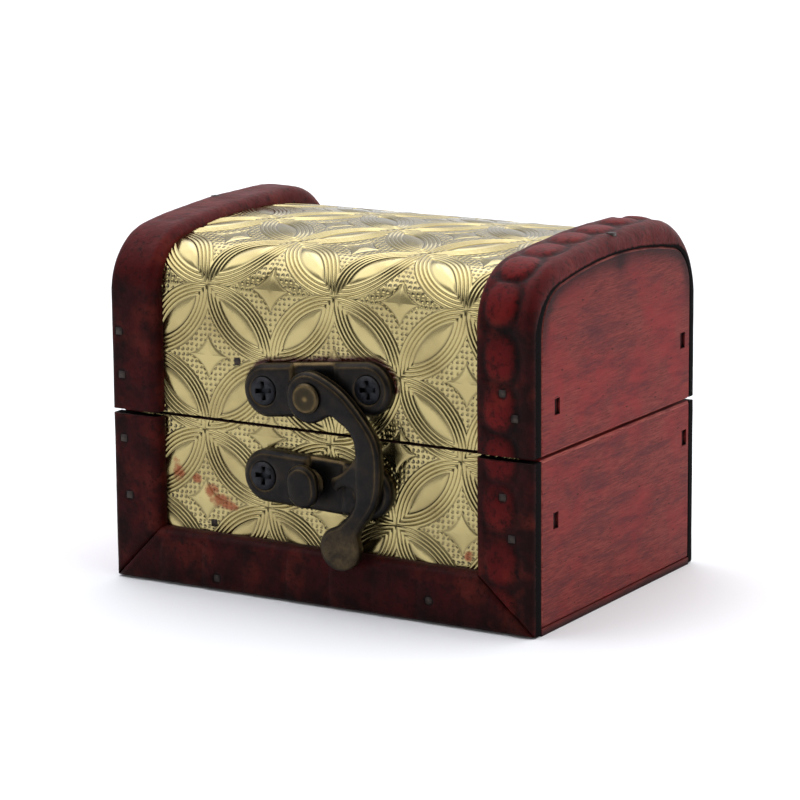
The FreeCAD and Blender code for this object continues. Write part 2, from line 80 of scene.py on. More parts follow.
def place_property(name, description, *millimetres):
    """A point property with its default in millimetres."""
    default = [value * MM for value in millimetres]
    return FloatVectorProperty(
        name=name, description=description, default=default, size=len(default), precision=5, unit="LENGTH"
    )


def direction(name, description, *way):
    """A direction property."""
    return FloatVectorProperty(name=name, description=description, default=way, subtype="DIRECTION")


def angle(name, description, degrees):
    """An angle property with its default in degrees."""
    return FloatProperty(name=name, description=description, default=math.radians(degrees), subtype="ANGLE")


def colour(name, description, hex_colour):
    """A colour property with its default as an sRGB hex value."""
    return FloatVectorProperty(
        name=name, description=description, default=linear(hex_colour), size=4, min=0, max=1, subtype="COLOR"
    )


class GoldSettings(bpy.types.PropertyGroup):
    """The pressed gold sheets."""

    pitch_across: length("Pitch across", "Distance between the pattern's nodes in a row", 24.5)
    pitch_up: length("Pitch up", "Distance between two equal rows of nodes", 23.8)
    lid_node: place_property(
        "Node on the lid", "Place of a node, from the middle line and up from the front edge", 2.1, 22.3
    )
    base_node: place_property(
        "Node on the base", "Place of a node, from the middle line and up from the lower edge", 13.4, 9.4
    )
    ridges: IntProperty(name="Ridges", description="Ridges along each side of a petal", default=3, min=1)
    ridge_pitch: length("Ridge pitch", "Distance between two ridges", 0.66)
    ridge_height: length("Ridge height", "Height of a ridge over its grooves", 0.23)
    dome_height: length("Dome height", "Height of the smooth middle of a petal", 0.22)
    star_share: number("Star share", "Size of the star in its field", 0.46)
    star_height: length("Star height", "Height of the star's middle", 0.2)
    waffle_pitch: length("Waffle pitch", "Distance between the small pits of a field", 0.92)
    waffle_depth: length("Waffle depth", "Depth of the small pits", 0.09)
    sunk: length("Sunk", "Depth of the grooves below the plain sheet's face", 0.14)
    lid_shoulder: length("Lid shoulder", "Radius of the sheet at the lid's front and back edge", 7.7)
    lid_crown: length("Lid crown", "Radius of the sheet over the lid", 105.2)
    metal: colour("Metal", "Clean foil", "#b0a16c")
    tarnish: colour("Tarnish", "Dulled foil", "#9b8b5a")
    # Groove colour: dark lacquer in the grooves and pits, which also stands in for their shade (painted
    # shade)
    groove: colour("Groove", "Lacquer that settled in the grooves", "#3f3211")
    stain: colour("Stain", "Wood stain smudged on the foil", "#93400f")
    # A darker colour painted in a band along the upper edge of the clasp's plate
    grime: colour("Grime", "Dark stain that gathered along the clasp", "#471a0a")


class LeatherSettings(bpy.types.PropertyGroup):
    """The leather trim."""

    inner_roll: length("Inner roll", "Rounding of the edge beside the gold sheet", 1.7)
    side_roll: length("Side roll", "Rounding of the outer edge where a strip stands upright", 0.9)
    crown_roll: length("Crown roll", "Rounding of the outer edge over the lid", 2.4)
    seam_roll: length("Seam roll", "Rounding of the front ends at the lid's seam", 0.2)
    hinge_roll: length("Hinge roll", "Rounding of the back ends, which close up as the lid opens", 0.4)
    mitre_roll: length("Mitre roll", "Rounding along a mitred corner", 0.9)
    side_black: length("Side black", "Blackened height of the cut edge where a strip stands upright", 1.9)
    crown_black: length("Crown black", "Blackened height of the cut edge over the lid", 0.4)
    scale_pitch: length("Scale pitch", "Distance between two pressed scales", 8.3)
    scale_width: length("Scale width", "Width of a pressed scale", 6.3)
    scale_inset: length("Scale inset", "Rim between a scale and the inner edge", 1.5)
    dome: length("Dome", "Rise of a scale's middle", 0.35)
    crease: length("Crease", "Depth of the crease round a scale", 0.32)
    overhang: length("Overhang", "How far the left strips stand out past the end wall", 0.55)
    back_swell: length("Back swell", "How far the leather stands off at the back", 0.4)
    lid_front_shoulder: length("Front shoulder", "Radius of the bands at the lid's front edge", 10.5)
    lid_back_shoulder: length("Back shoulder", "Radius of the bands at the lid's back edge", 13.5)
    lid_crown: length("Lid crown", "Radius of the bands over the lid", 195.0)
    lid_crest: length("Lid crest", "Place of the bands' highest line, back from the middle", 5.8)
    left_shift: length("Left shift", "How much narrower the left strips are, at their inner edge", 1.4)
    right_shift: length("Right shift", "How much wider the right strips are, at their inner edge", 0.8)
    dye: colour("Dye", "Red dye on the raised grain", "#611414")
    ember: colour("Ember", "Rubbed orange-red places", "#6f2a1e")
    shade: colour("Shade", "Dark antique wax in the grain", "#1c0909")
    # The fibre colour also darkens the creases and the brad dimples: wax and painted shade
    fibre: colour("Fibre", "Blackened cut edge", "#0b0808")
    bloom: colour("Bloom", "Pale bloom of old wax, seen along the surface", "#e6c4c4")


class WoodSettings(bpy.types.PropertyGroup):
    """The stained end walls and the plain boards."""

    light: colour("Light", "Stain on soft early wood", "#7f3831")
    middle: colour("Middle", "Stain on late wood", "#5b2120")
    ruddy: colour("Ruddy", "Places with more stain", "#802626")
    dark: colour("Dark", "Wax that soaked into the grain", "#45252a")
    # The rim colour also paints the shade under the bands and in hollows, and darkens the foot
    rim: colour("Rim", "Blackened edge under the leather", "#180e10")
    worn: colour("Worn", "Stain rubbed thin along edges", "#a85a50")
    inside: colour("Inside", "Bare boards inside", "#6b4a3a")


class MetalSettings(bpy.types.PropertyGroup):
    """The clasp, the hinges and the brads."""

    patina: colour("Patina", "Dark patina of the clasp", "#16171a")
    brass: colour("Brass", "Metal laid bare at worn edges", "#8a734c")
    rivet: colour("Rivet", "Dark face of the clasp's rivet", "#2e2a22")
    screw: colour("Screw", "Blackened screws", "#1b1d23")
    steel: colour("Steel", "Cut ends of the brads", "#463f3b")
    # Painted shade: darkens hollows in the metalwork and colours the sunk brads in their pockets
    painted_shade: colour("Soot", "Dirt in hollows", "#08080a")


class StageSettings(bpy.types.PropertyGroup):
    """The floor, the light and the camera."""

    lens: number("Lens", "Focal length in millimetres", 157.1)
    sensor: number("Sensor", "Width of the picture in the camera in millimetres", 36)
    azimuth: angle("Azimuth", "Turn of the camera to the right", 31.24)
    elevation: angle("Elevation", "Angle of the camera above", 12.07)
    roll: angle("Roll", "Turn of the camera on its axis", 0.5)
    distance: length("Distance", "From the camera to the aimed point", 592.2)
    aim: place_property("Aim", "Point that the camera looks at", -3.93, 4.63, 28.04)
    floor: colour("Floor", "White paper sweep", "#ececed")
    floor_half: length("Floor half", "Half of the floor's side", 6000)
    tent: colour("Tent", "White cloth of the light tent", "#f6f8ff")
    pane_level: number("Pane level", "Light from the tent's bright pane", 2.6)
    wall_level: number("Wall level", "Light from the tent's cloth", 0.5)
    low_level: number("Low level", "Light from low down at the sides and back", 0.7)
    open_level: number("Open level", "Light from low down in the tent's opening", 0.08)
    pane: direction("Pane", "Direction to the tent's bright pane", -0.5, -0.1, 0.86)
    opening: direction("Opening", "Direction to the tent's opening", 0.55, -0.8, 0.25)
    key: number("Key", "Strength of the soft key light", 2.8)
    key_size: angle("Key size", "Width of the key light as seen from the box", 110)
    key_place: direction("Key place", "Direction to the key light", 0.42, 0.5, 0.76)


class KeepsakeSettings(bpy.types.PropertyGroup):
    """All sizes and colours of the box."""

    gold: PointerProperty(type=GoldSettings)
    leather: PointerProperty(type=LeatherSettings)
    wood: PointerProperty(type=WoodSettings)
    metal: PointerProperty(type=MetalSettings)
    stage: PointerProperty(type=StageSettings)


def add(tree, kind, inputs=None, output=0, **settings):
    """Adds a node with its settings. Inputs are values, or sockets to link. Gives one of its outputs."""
    made = tree.nodes.new("ShaderNode" + kind)
    for name, value in settings.items():
        setattr(made, name, value)
    for name, value in (inputs or {}).items():
        if isinstance(value, bpy.types.NodeSocket):
            tree.links.new(value, made.inputs[name])
        else:
            made.inputs[name].default_value = value
    return made.outputs[output] if made.outputs else None


def new_material(name):
    """A material with an empty node tree, and the helper that adds nodes to it."""
    material = bpy.data.materials.new(name)
    material.use_nodes = True
    material.node_tree.nodes.clear()
    return material, partial(add, material.node_tree)


def finish_material(material, node, inputs):
    """Gives a material its shader."""
    node("OutputMaterial", {"Surface": node("BsdfPrincipled", inputs)})
    return material


def coat(node, value, low, high, most, under, over):
    """Lays a colour over another where a value goes from one level to the other, up to a share of most."""
    share = node("MapRange", {"Value": value, "From Min": low, "From Max": high, "To Max": most})
    return node("Mix", {"Factor": share, 6: under, 7: over}, 2, data_type="RGBA")


def drawn_noise(node, place, sizes, detail, rough, lean=0.0):
    """Noise drawn out along a grain, by its sizes in millimetres and its lean in degrees."""
    scale = [1 / (size * MM) for size in sizes]
    drawn = node("Mapping", {"Vector": place, "Rotation": (math.radians(lean), 0, 0), "Scale": scale})
    return node("TexNoise", {"Vector": drawn, "Scale": 1.0, "Detail": detail, "Roughness": rough})


def paint(material, *names):
    """Gives CAD nodes a material."""
    for name in names:
        slots = NODES[name].data.materials
        slots.clear()
        slots.append(material)


class Arch:
    """Line of an arched lid, by its length from the front rim over the top to the back rim."""

    def __init__(self, front, back, low, top, shoulders, crown, crest):
        crown_z = top - crown
        leans = []
        sides = []
        for way, edge, shoulder in ((-1, front, shoulders[0]), (1, back, shoulders[1])):
            reach = way * (edge - crest) - shoulder
            rise = math.sqrt((crown - shoulder) ** 2 - reach**2)
            leans.append(math.atan2(reach, rise))
            sides.append(crown_z + rise - low)
        right = math.pi / 2
        turns = [0, 0, right - leans[0], right + leans[1], math.pi, math.pi]
        self.radii = np.array([0, shoulders[0], crown, shoulders[1], 0])
        lengths = [sides[0], *(self.radii[1:4] * np.diff(turns)[1:4]), sides[1]]
        self.stations = np.concatenate(([0], np.cumsum(lengths)))
        self.turns = np.array(turns)
        self.corners = [np.array((front, low))]
        for k in range(len(lengths)):
            self.corners.append(self._along(k, self.stations[k + 1], self.turns[k + 1]))
        self.corners = np.array(self.corners)

    @property
    def length(self):
        return self.stations[-1]

    @staticmethod
    def _normal(turn):
        return np.stack((-np.cos(turn), np.sin(turn)), axis=-1)

    def _along(self, k, station, turn):
        """Point at a station on the k-th stretch."""
        straight = (station - self.stations[k]) * (self.radii[k] == 0)
        start = self.turns[k]
        bend = self.radii[k, ...] if np.ndim(k) == 0 else self.radii[k][..., None]
        step = np.stack((np.sin(start) * straight, np.cos(start) * straight), axis=-1)
        return np.asarray(self.corners)[k] + step + bend * (self._normal(turn) - self._normal(start))

    def at(self, station):
        """Points (y, z) and outward normals at the stations."""
        station = np.clip(station, 0, self.length)
        k = np.clip(np.searchsorted(self.stations, station, side="right") - 1, 0, len(self.radii) - 1)
        turn = np.interp(station, self.stations, self.turns)
        return self._along(k, station, turn), self._normal(turn)


class Upright:
    """A flat wall's line, by its length up from its lower edge."""

    def __init__(self, y, low, high, way):
        self.start = np.array((y, low))
        self.length = high - low
        self.way = way

    def at(self, station):
        """Points (y, z) and outward normals at the stations."""
        station = np.asarray(station)
        points = self.start + np.stack((np.zeros_like(station), station), axis=-1)
        return points, np.broadcast_to(np.array((self.way, 0.0)), points.shape)


def smooth(share):
    """Soft step from 0 to 1."""
    share = np.clip(share, 0, 1)
    return share * share * (3 - 2 * share)


def place_points(x, points, normals, lift):
    """Points in space from places across, points (y, z) of a line and lifts along its normals."""
    y = points[..., 0] + normals[..., 0] * lift
    z = points[..., 1] + normals[..., 1] * lift
    return np.stack((x, y, z), axis=-1)


WELD = 0.001 * MM


def islands(node):
    """The separate bodies in a CAD node, as arrays of their corners."""
    bm = bmesh.new()
    bm.from_mesh(NODES[node].data)
    bmesh.ops.remove_doubles(bm, verts=bm.verts, dist=WELD)
    left = set(bm.verts)
    found = []
    while left:
        waiting = [left.pop()]
        island = []
        while waiting:
            vert = waiting.pop()
            island.append(tuple(vert.co))
            near = {edge.other_vert(vert) for edge in vert.link_edges} & left
            left -= near
            waiting.extend(near)
        found.append(np.array(island))
    bm.free()
    return found


HEAD_CORNERS = 4
BRAD_PROUD = 0.08 * MM


def bed_brads(points, normals, node, bed, rim):
    """Presses a surface down round its brads, whose heads stand just proud. Gives each point's share."""
    pressed = np.zeros(len(points))
    for island in islands(node):
        outward = normals[np.argmin(np.linalg.norm(points - island.mean(axis=0), axis=1))]
        head = island[np.argsort(island @ outward)[-HEAD_CORNERS:]].mean(axis=0)
        offset = points - head
        away = np.linalg.norm(offset, axis=1)
        if away.min() > rim:
            continue
        height = np.einsum("ij,ij->i", offset, normals)
        weight = smooth((rim - away) / (rim - bed))
        points -= normals * (weight * np.maximum(height + BRAD_PROUD, 0))[:, None]
        pressed = np.maximum(pressed, weight)
    return pressed


def node_tree(node):
    """Search tree of a CAD node's faces."""
    mesh = NODES[node].data
    return BVHTree.FromPolygons([v.co for v in mesh.vertices], [p.vertices for p in mesh.polygons])


def grid_quads(rows, columns):
    """Corner numbers of the quads of a grid."""
    corner = np.arange((rows - 1) * columns).reshape(rows - 1, columns)[:, :-1].ravel()
    return np.stack((corner, corner + 1, corner + columns + 1, corner + columns), axis=1)


def set_attributes(mesh, **attributes):
    """Point attributes for a material to read."""
    for label, values in attributes.items():
        vector = np.ndim(values) == 2
        layer = mesh.attributes.new(label, "FLOAT_VECTOR" if vector else "FLOAT", "POINT")
        layer.data.foreach_set("vector" if vector else "value", np.asarray(values, dtype=np.float32).ravel())


def add_piece(mesh, material, body, replaced):
    """Puts a smooth mesh in the place of a CAD node."""
    mesh.shade_smooth()
    mesh.materials.append(material)
    piece = bpy.data.objects.new(mesh.name, mesh)
    bpy.context.scene.collection.objects.link(piece)
    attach(piece, body)
    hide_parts(replaced)


# Samples of the pressed pattern. A lattice square's side is the unit, and circles go round its middle
CIRCLE_RADIUS = math.sqrt(0.5)
ARC_STEPS = 16
RIDGE_STEPS = 6
DOME_SHARES = np.array((0, 0.1, 0.25, 0.45, 0.7, 1))
STAR_SHARES = (0, 0.35, 0.7, 0.93)
FIELD_SHARES = (0.6, 0.72, 0.84, 0.94, 0.98)
STAR_GROOVE = 0.04
HALF_PETALS = 4
FIELD_LEVEL = 0.55


def nested_arcs(distances):
    """Arcs at distances inside a petal's edge, from tip to tip over the half petal above the x axis."""
    turn = np.linspace(-1, 1, ARC_STEPS + 1)[None, :]
    radius = (CIRCLE_RADIUS - np.asarray(distances))[:, None]
    reach = np.arccos(np.clip(0.5 / radius, -1, 1))
    return np.stack((0.5 + radius * np.sin(turn * reach), radius * np.cos(turn * reach) - 0.5), axis=-1)


def field_outline(distance):
    """Line round the middle of a square, at a distance outside the four petals that bound it."""
    radius = CIRCLE_RADIUS + distance
    tip = math.sqrt(max(radius**2 - 0.5, 0) / 2)
    turn = np.linspace(-1, 1, ARC_STEPS + 1)[:-1] * math.atan2(0.5 - tip, 0.5 + tip)
    edge = np.stack((radius * np.sin(turn), radius * np.cos(turn) - 1), axis=1)
    outline = [edge @ np.array(((c, s), (-s, c))) for c, s in ((1, 0), (0, 1), (-1, 0), (0, -1))]
    return np.concatenate((*outline, outline[0][:1]))


def petal_profile(gold, side):
    """Distances in from a petal's edge, in square sides, and heights there: round ridges, then a dome."""
    turn = np.linspace(0, math.pi, RIDGE_STEPS + 1)[:-1]
    ridge = gold.ridge_pitch * (1 - np.cos(turn)) / 2
    ridges = np.concatenate([ridge + k * gold.ridge_pitch for k in range(gold.ridges)])
    start = gold.ridges * gold.ridge_pitch
    dome = (side * (CIRCLE_RADIUS - 0.5) - start) * DOME_SHARES
    bulge = 1 - (1 - DOME_SHARES) ** 2
    ridge_heights = np.tile(gold.ridge_height * np.sin(turn), gold.ridges)
    heights = np.concatenate((ridge_heights, gold.dome_height * bulge))
    return np.concatenate((ridges, start + dome)) / side, heights


def pattern_tile(gold):
    """One repeat of the overlapping circles on a lattice of unit squares.

    A petal lies on each side of a square, and a field with a star inside the square. Gives points
    (u, v, height), quads, and each point's shade of groove and waffle.
    """
    side = math.hypot(gold.pitch_across, gold.pitch_up) / 2
    distances, heights = petal_profile(gold, side)
    half = nested_arcs(distances)
    half = np.concatenate((half, np.broadcast_to(heights[:, None, None], (*half.shape[:2], 1))), axis=2)
    half = half.reshape(-1, 3)
    mirrored = half * (1, -1, 1)
    level = np.concatenate((half, mirrored))
    upright = level[:, (1, 0, 2)]
    half_quads = grid_quads(len(distances), ARC_STEPS + 1)
    petal_groove = np.clip(1 - heights / (FIELD_LEVEL * gold.ridge_height), 0, 1)
    petal_groove = np.repeat(petal_groove, ARC_STEPS + 1)

    star = gold.star_share
    shares = np.concatenate((star * np.array(STAR_SHARES), (star, star + STAR_GROOVE), FIELD_SHARES))
    plain = FIELD_LEVEL * gold.ridge_height
    rise = np.where(shares < star, gold.star_height * (1 - shares / star) + plain / 2, plain)
    rise[len(STAR_SHARES)] = 0
    turn = np.linspace(math.pi, 0, RIDGE_STEPS + 1)
    rim = [field_outline(gold.ridge_pitch / side * (1 - math.cos(value)) / 2) for value in turn]
    rings = np.concatenate((shares[:, None, None] * rim[0][None], np.array(rim)))
    rise = np.concatenate((rise, gold.ridge_height * np.sin(turn)))
    raised = np.broadcast_to(rise[:, None, None], (*rings.shape[:2], 1))
    field = np.concatenate((0.5 + rings, raised), axis=2)
    field = field.reshape(-1, 3)
    corners = rings.shape[1]
    field_groove = np.repeat(np.clip(1 - rise / plain, 0, 1), corners)
    waffled = np.zeros(len(rise))
    waffled[len(STAR_SHARES) + 1 : len(shares)] = 1
    field_waffle = np.repeat(waffled, corners)

    points = np.concatenate((level, upright, field))
    quads = [half_quads + k * len(half) for k in range(HALF_PETALS)]
    quads.append(grid_quads(len(rings), corners) + HALF_PETALS * len(half))
    groove = np.concatenate((np.tile(petal_groove, HALF_PETALS), field_groove))
    waffle = np.concatenate((np.zeros(HALF_PETALS * len(half)), field_waffle))
    return points, np.concatenate(quads), groove, waffle


MERGE = 0.004 * MM


def pressed_sheet(gold, name, half_width, height, node):
    """A flat mesh (x, up, relief) with the pattern, cut to the sheet's outline."""
    tile, quads, groove, waffle = pattern_tile(gold)
    half_x = gold.pitch_across / 2
    half_z = gold.pitch_up / 2
    reach = int((half_width + height) / min(half_x, half_z)) + 2
    points = []
    faces = []
    for i in range(-reach, reach + 1):
        for j in range(-reach, reach + 1):
            middle = (node[0] + (i - j) * half_x, node[1] + (i + j + 1) * half_z)
            if abs(middle[0]) > half_width + 2 * half_x or not -2 * half_z < middle[1] < height + 2 * half_z:
                continue
            u = tile[:, 0] + i
            v = tile[:, 1] + j
            faces.append(quads + len(points) * len(tile))
            x = node[0] + (u - v) * half_x
            up = node[1] + (u + v) * half_z
            points.append(np.stack((x, up, tile[:, 2]), axis=1))
    mesh = bpy.data.meshes.new(name)
    mesh.from_pydata(np.concatenate(points), [], np.concatenate(faces))
    set_attributes(mesh, groove=np.tile(groove, len(points)), waffle=np.tile(waffle, len(points)))
    bm = bmesh.new()
    bm.from_mesh(mesh)
    bmesh.ops.remove_doubles(bm, verts=bm.verts, dist=MERGE)
    for place, way in (
        ((half_width, 0, 0), (1, 0, 0)),
        ((-half_width, 0, 0), (-1, 0, 0)),
        ((0, 0, 0), (0, -1, 0)),
        ((0, height, 0), (0, 1, 0)),
    ):
        geometry = [*bm.verts, *bm.edges, *bm.faces]
        bmesh.ops.bisect_plane(bm, geom=geometry, plane_co=place, plane_no=way, clear_outer=True)
    bm.normal_update()
    bmesh.ops.reverse_faces(bm, faces=[face for face in bm.faces if face.normal.z < 0])
    bm.to_mesh(mesh)
    bm.free()
    return mesh


PLATE_EDGE_REACH = 1.6 * MM


def plate_edge_darkening(points, node):
    """Strength of the darker colour painted in a band along a plate's upper edge."""
    low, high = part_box(node)
    tree = node_tree(node)
    near = np.zeros(len(points))
    for k, point in enumerate(points):
        if point[1] < 0 and point[2] > (low.z + high.z) / 2 and abs(point[0] - low.x) < 2 * (high.x - low.x):
            found = tree.find_nearest(Vector(point), PLATE_EDGE_REACH)[3]
            if found is not None:
                near[k] = 1 - found / PLATE_EDGE_REACH
    return near


SPOT_REACH = 1.5


def spot_stain(points, spots):
    """Shade of smudges: each spot has its place (x, z) and half sizes in millimetres, and its strength."""
    shade = np.zeros(len(points))
    for x, z, wide, tall, strength in spots:
        away = np.hypot((points[:, 0] / MM - x) / wide, (points[:, 2] / MM - z) / tall)
        shade = np.maximum(shade, strength * np.clip(SPOT_REACH - away, 0, 1) * (points[:, 1] < 0))
    return shade


GOLD_BRAD_BED = 0.75 * MM
GOLD_BRAD_RIM = 1.1 * MM


def sheet_piece(gold, name, body, line, hand, node, material, spots):
    """A pressed sheet rolled onto a line, in the place of its CAD node."""
    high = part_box(name)[1]
    mesh = pressed_sheet(gold, name + "_pressed", high.x, line.length, node)
    flat = np.empty(len(mesh.vertices) * 3, dtype=np.float32)
    mesh.vertices.foreach_get("co", flat)
    flat = flat.reshape(-1, 3).astype(float)
    points, normals = line.at(flat[:, 1])
    placed = place_points(hand * flat[:, 0], points, normals, flat[:, 2] - gold.sunk)
    outward = np.column_stack((np.zeros(len(normals)), normals))
    bed_brads(placed, outward, f"{body}_trim_brads", GOLD_BRAD_BED, GOLD_BRAD_RIM)
    mesh.vertices.foreach_set("co", placed.astype(np.float32).ravel())
    if hand < 0:
        mesh.flip_normals()
    grime = plate_edge_darkening(placed, "latch_plate")
    set_attributes(mesh, flat=flat, stain=spot_stain(placed, spots), grime=grime)
    add_piece(mesh, material, body, name)


def pressed_gold_foil(gold):
    """Brass foil on card, pressed by rollers: bright ridges, grooves and pits darkened with lacquer and
    painted shade, pitted fields, dull spots.
    """
    material, node = new_material("pressed_gold_foil")
    flat = node("Attribute", None, "Vector", attribute_name="flat")
    groove, waffle, stain, grime = (
        node("Attribute", None, "Fac", attribute_name=label)
        for label in ("groove", "waffle", "stain", "grime")
    )
    dents, patches, blotches = (
        node("TexNoise", {"Vector": flat, "Scale": 1 / (size * MM), "Detail": detail, "Roughness": rough})
        for size, detail, rough in ((2.4, 4.0, 0.55), (9, 3.0, 0.5), (1.3, 5.0, 0.7))
    )
    streaks = drawn_noise(node, flat, (0.22, 5, 1 / MM), 3.0, 0.6)
    pits = node(
        "TexVoronoi",
        {"Vector": flat, "Scale": 1 / gold.waffle_pitch, "Randomness": 0.2},
        voronoi_dimensions="2D",
    )
    cut = node(
        "MapRange", {"Value": pits, "From Min": 0.45, "From Max": 0.1}, interpolation_type="SMOOTHSTEP"
    )
    pitted = node("Math", {0: cut, 1: waffle}, operation="MULTIPLY")
    creased = node("Bump", {"Height": dents, "Strength": 0.3, "Distance": 0.1 * MM})
    brushed = node("Bump", {"Height": streaks, "Strength": 0.3, "Distance": 0.025 * MM, "Normal": creased})
    bumped = node(
        "Bump",
        {"Height": pitted, "Strength": 1.0, "Distance": gold.waffle_depth, "Normal": brushed},
        invert=True,
    )

    # Grooves and the waffle's pits take the groove colour: lacquer and painted shade
    lined = node("MapRange", {"Value": groove, "From Min": 0.25, "From Max": 1.0, "To Max": 0.6})
    sunk = node("MapRange", {"Value": pitted, "From Min": 0.55, "To Max": 0.6})
    groove_lacquer_and_shade = node("Math", {0: lined, 1: sunk}, operation="MAXIMUM")
    surface = coat(node, patches, 0.42, 0.7, 1.0, gold.metal, gold.tarnish)
    surface = node("Mix", {"Factor": groove_lacquer_and_shade, 6: surface, 7: gold.groove}, 2, data_type="RGBA")
    smears = []
    for smear, low, high, most, shade in (
        (stain, 0.2, 0.46, 0.85, gold.stain),
        (grime, 0.15, 0.4, 1.0, gold.grime),
    ):
        soaked = node("Math", {0: smear, 1: blotches}, operation="MULTIPLY")
        share = node("MapRange", {"Value": soaked, "From Min": low, "From Max": high, "To Max": most})
        surface = node("Mix", {"Factor": share, 6: surface, 7: shade}, 2, data_type="RGBA")
        smears.append(share)
    covered = node("Math", dict(enumerate(smears)), operation="MAXIMUM")
    metallic = node("MapRange", {"Value": covered, "To Min": 1.0, "To Max": 0.25})
    clear = node("MapRange", {"Value": covered, "To Min": 0.5, "To Max": 0.0})
    gloss = node(
        "MapRange", {"Value": patches, "From Min": 0.3, "From Max": 0.7, "To Min": 0.17, "To Max": 0.28}
    )
    inputs = {
        "Base Color": surface,
        "Metallic": metallic,
        "Roughness": gloss,
        "Normal": bumped,
        "Coat Weight": clear,
        "Coat Roughness": 0.2,
    }
    return finish_material(material, node, inputs)


# Smudges of wood stain on the front sheet: place (x, z), half sizes, strength
FRONT_SMUDGES = (
    (-29.2, 20.8, 1.0, 1.0, 0.6),
    (-28.8, 18.8, 1.3, 1.6, 1.0),
    (-25.2, 18.3, 1.2, 1.0, 0.85),
    (-22.3, 16.5, 1.6, 1.3, 0.95),
    (-20.5, 14.9, 2.1, 1.3, 1.0),
    (-18.5, 14.2, 1.6, 0.9, 0.9),
    (26.9, 11.4, 1.0, 1.0, 0.95),
)


class KEEPSAKE_OT_gold_sheets(bpy.types.Operator):
    """Press the gold sheets and glue them to the base and the lid"""

    bl_idname = "keepsake.gold_sheets"
    bl_label = "Gold sheets"

    def execute(self, context):
        gold = context.scene.keepsake.gold
        material = pressed_gold_foil(gold)
        low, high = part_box("lid_sheet")
        shoulders = (gold.lid_shoulder, gold.lid_shoulder)
        line = Arch(low.y, high.y, low.z, high.z, shoulders, gold.lid_crown, (low.y + high.y) / 2)
        sheet_piece(gold, "lid_sheet", "lid", line, 1, gold.lid_node, material, ())
        for name, way, spots in (("base_front_sheet", -1, FRONT_SMUDGES), ("base_back_sheet", 1, ())):
            low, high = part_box(name)
            line = Upright(low.y if way < 0 else high.y, low.z, high.z, way)
            sheet_piece(gold, name, "base", line, -way, gold.base_node, material, spots)
        return {"FINISHED"}


def rolled(away, radius):
    """Drop of a rounded edge at a distance from it."""
    share = 1 - np.clip(away / radius, 0, 1)
    return radius * (1 - np.sqrt(np.clip(1 - share * share, 0, 1)))


ROLL_STEPS = 7


def edge_samples(size, radius_start, radius_end, step):
    """Places from 0 to size, closer together in the rounded edges."""
    quarter = np.linspace(0, math.pi / 2, ROLL_STEPS)
    start = radius_start * (1 - np.cos(quarter))
    end = size - radius_end * (1 - np.cos(quarter))[::-1]
    middle = np.linspace(start[-1], end[0], max(2, int((end[0] - start[-1]) / step) + 2))
    return np.concatenate((start, middle[1:-1], end))


# How scales are pressed into a strip: depth, share of their own colour, squareness, width of the crease,
# place and size across, and phase
Scales = namedtuple("Scales", "depth colour power sharp inset width phase")
PLAIN_RUBBED = 0.15
GAP_RUBBED = 0.2
DOME_RUBBED = 1.3
CREASE_WAX_AND_SHADE = 0.6
TUCKED = 0.6
SCALE_WOBBLE = 0.06
WOBBLE_TURN = 2.4
INNER_CREASE = 0.45
GAP_WIDTH = 0.3


def pressed_scales(leather, along, across, scales):
    """Relief, crease and rubbed colour of the scales along a strip, each lying over the one before it. The
    crease colour is dark wax with painted shade, darker at the outer side and where a scale lies over the
    next.
    """
    half = scales.width / 2
    place = along / leather.scale_pitch + scales.phase
    number_along = np.round(place)
    wobble = SCALE_WOBBLE * np.sin(WOBBLE_TURN * number_along + scales.phase)
    step = 2 * (place - number_along - wobble / 2)
    tuck = smooth((1 - step) / 2)
    aside = (across - scales.inset) / half - 1 + wobble
    ring = (np.abs(step) ** scales.power + np.abs(aside) ** scales.power) ** (1 / scales.power)
    outer = INNER_CREASE + (1 - INNER_CREASE) * np.maximum(smooth(aside + 0.5), tuck)
    crease = outer * np.exp(-(((ring - 1) / scales.sharp) ** 2))
    gap = np.clip((ring - 1) / GAP_WIDTH, 0, 1) * np.clip(1 + GAP_WIDTH - np.abs(aside), 0, 1)
    dome = np.clip(1 - ring * ring, 0, 1)
    raised = leather.dome * dome * (1 - TUCKED + 2 * TUCKED * tuck)
    relief = scales.depth * (raised - leather.crease * (crease + gap / 2))
    lifted = smooth(DOME_RUBBED * dome) * (1 - TUCKED / 2 + TUCKED * tuck)
    scaled = GAP_RUBBED + (1 - GAP_RUBBED) * lifted
    rubbed = PLAIN_RUBBED + scales.colour * (scaled - PLAIN_RUBBED)
    return relief, np.clip(scales.depth * (CREASE_WAX_AND_SHADE * crease + gap), 0, 1), rubbed


# A strip: its name, body and width, start and end at a place across it, rolls at its inner edge, start and
# end, its scales, a seed, and place(along, across), which gives points, normals, the seat's depths and how
# far the strip lies on top
Strip = namedtuple("Strip", "name body width start end rolls scales seed place")
WALL_SHARES = np.array((1.0, 0.66, 0.33))
ACROSS_STEP = 0.34 * MM
ALONG_STEP = 0.42 * MM
DRIFT_SIZE = 7 * MM
DRIFT_HEIGHT = 0.07 * MM
DRIFT_FRACTAL = (1.0, 2.0, 3)
LEATHER_BRAD_BED = 0.5 * MM
LEATHER_BRAD_RIM = 1.3 * MM
FADE = 0.8 * MM
OUTER_START = 0.5
OUTER_SHADE = 0.75
CROWN_RUBBED = 0.4
FLATNESS_DEPTH = 0.6 * MM
END_RAW = 0.8


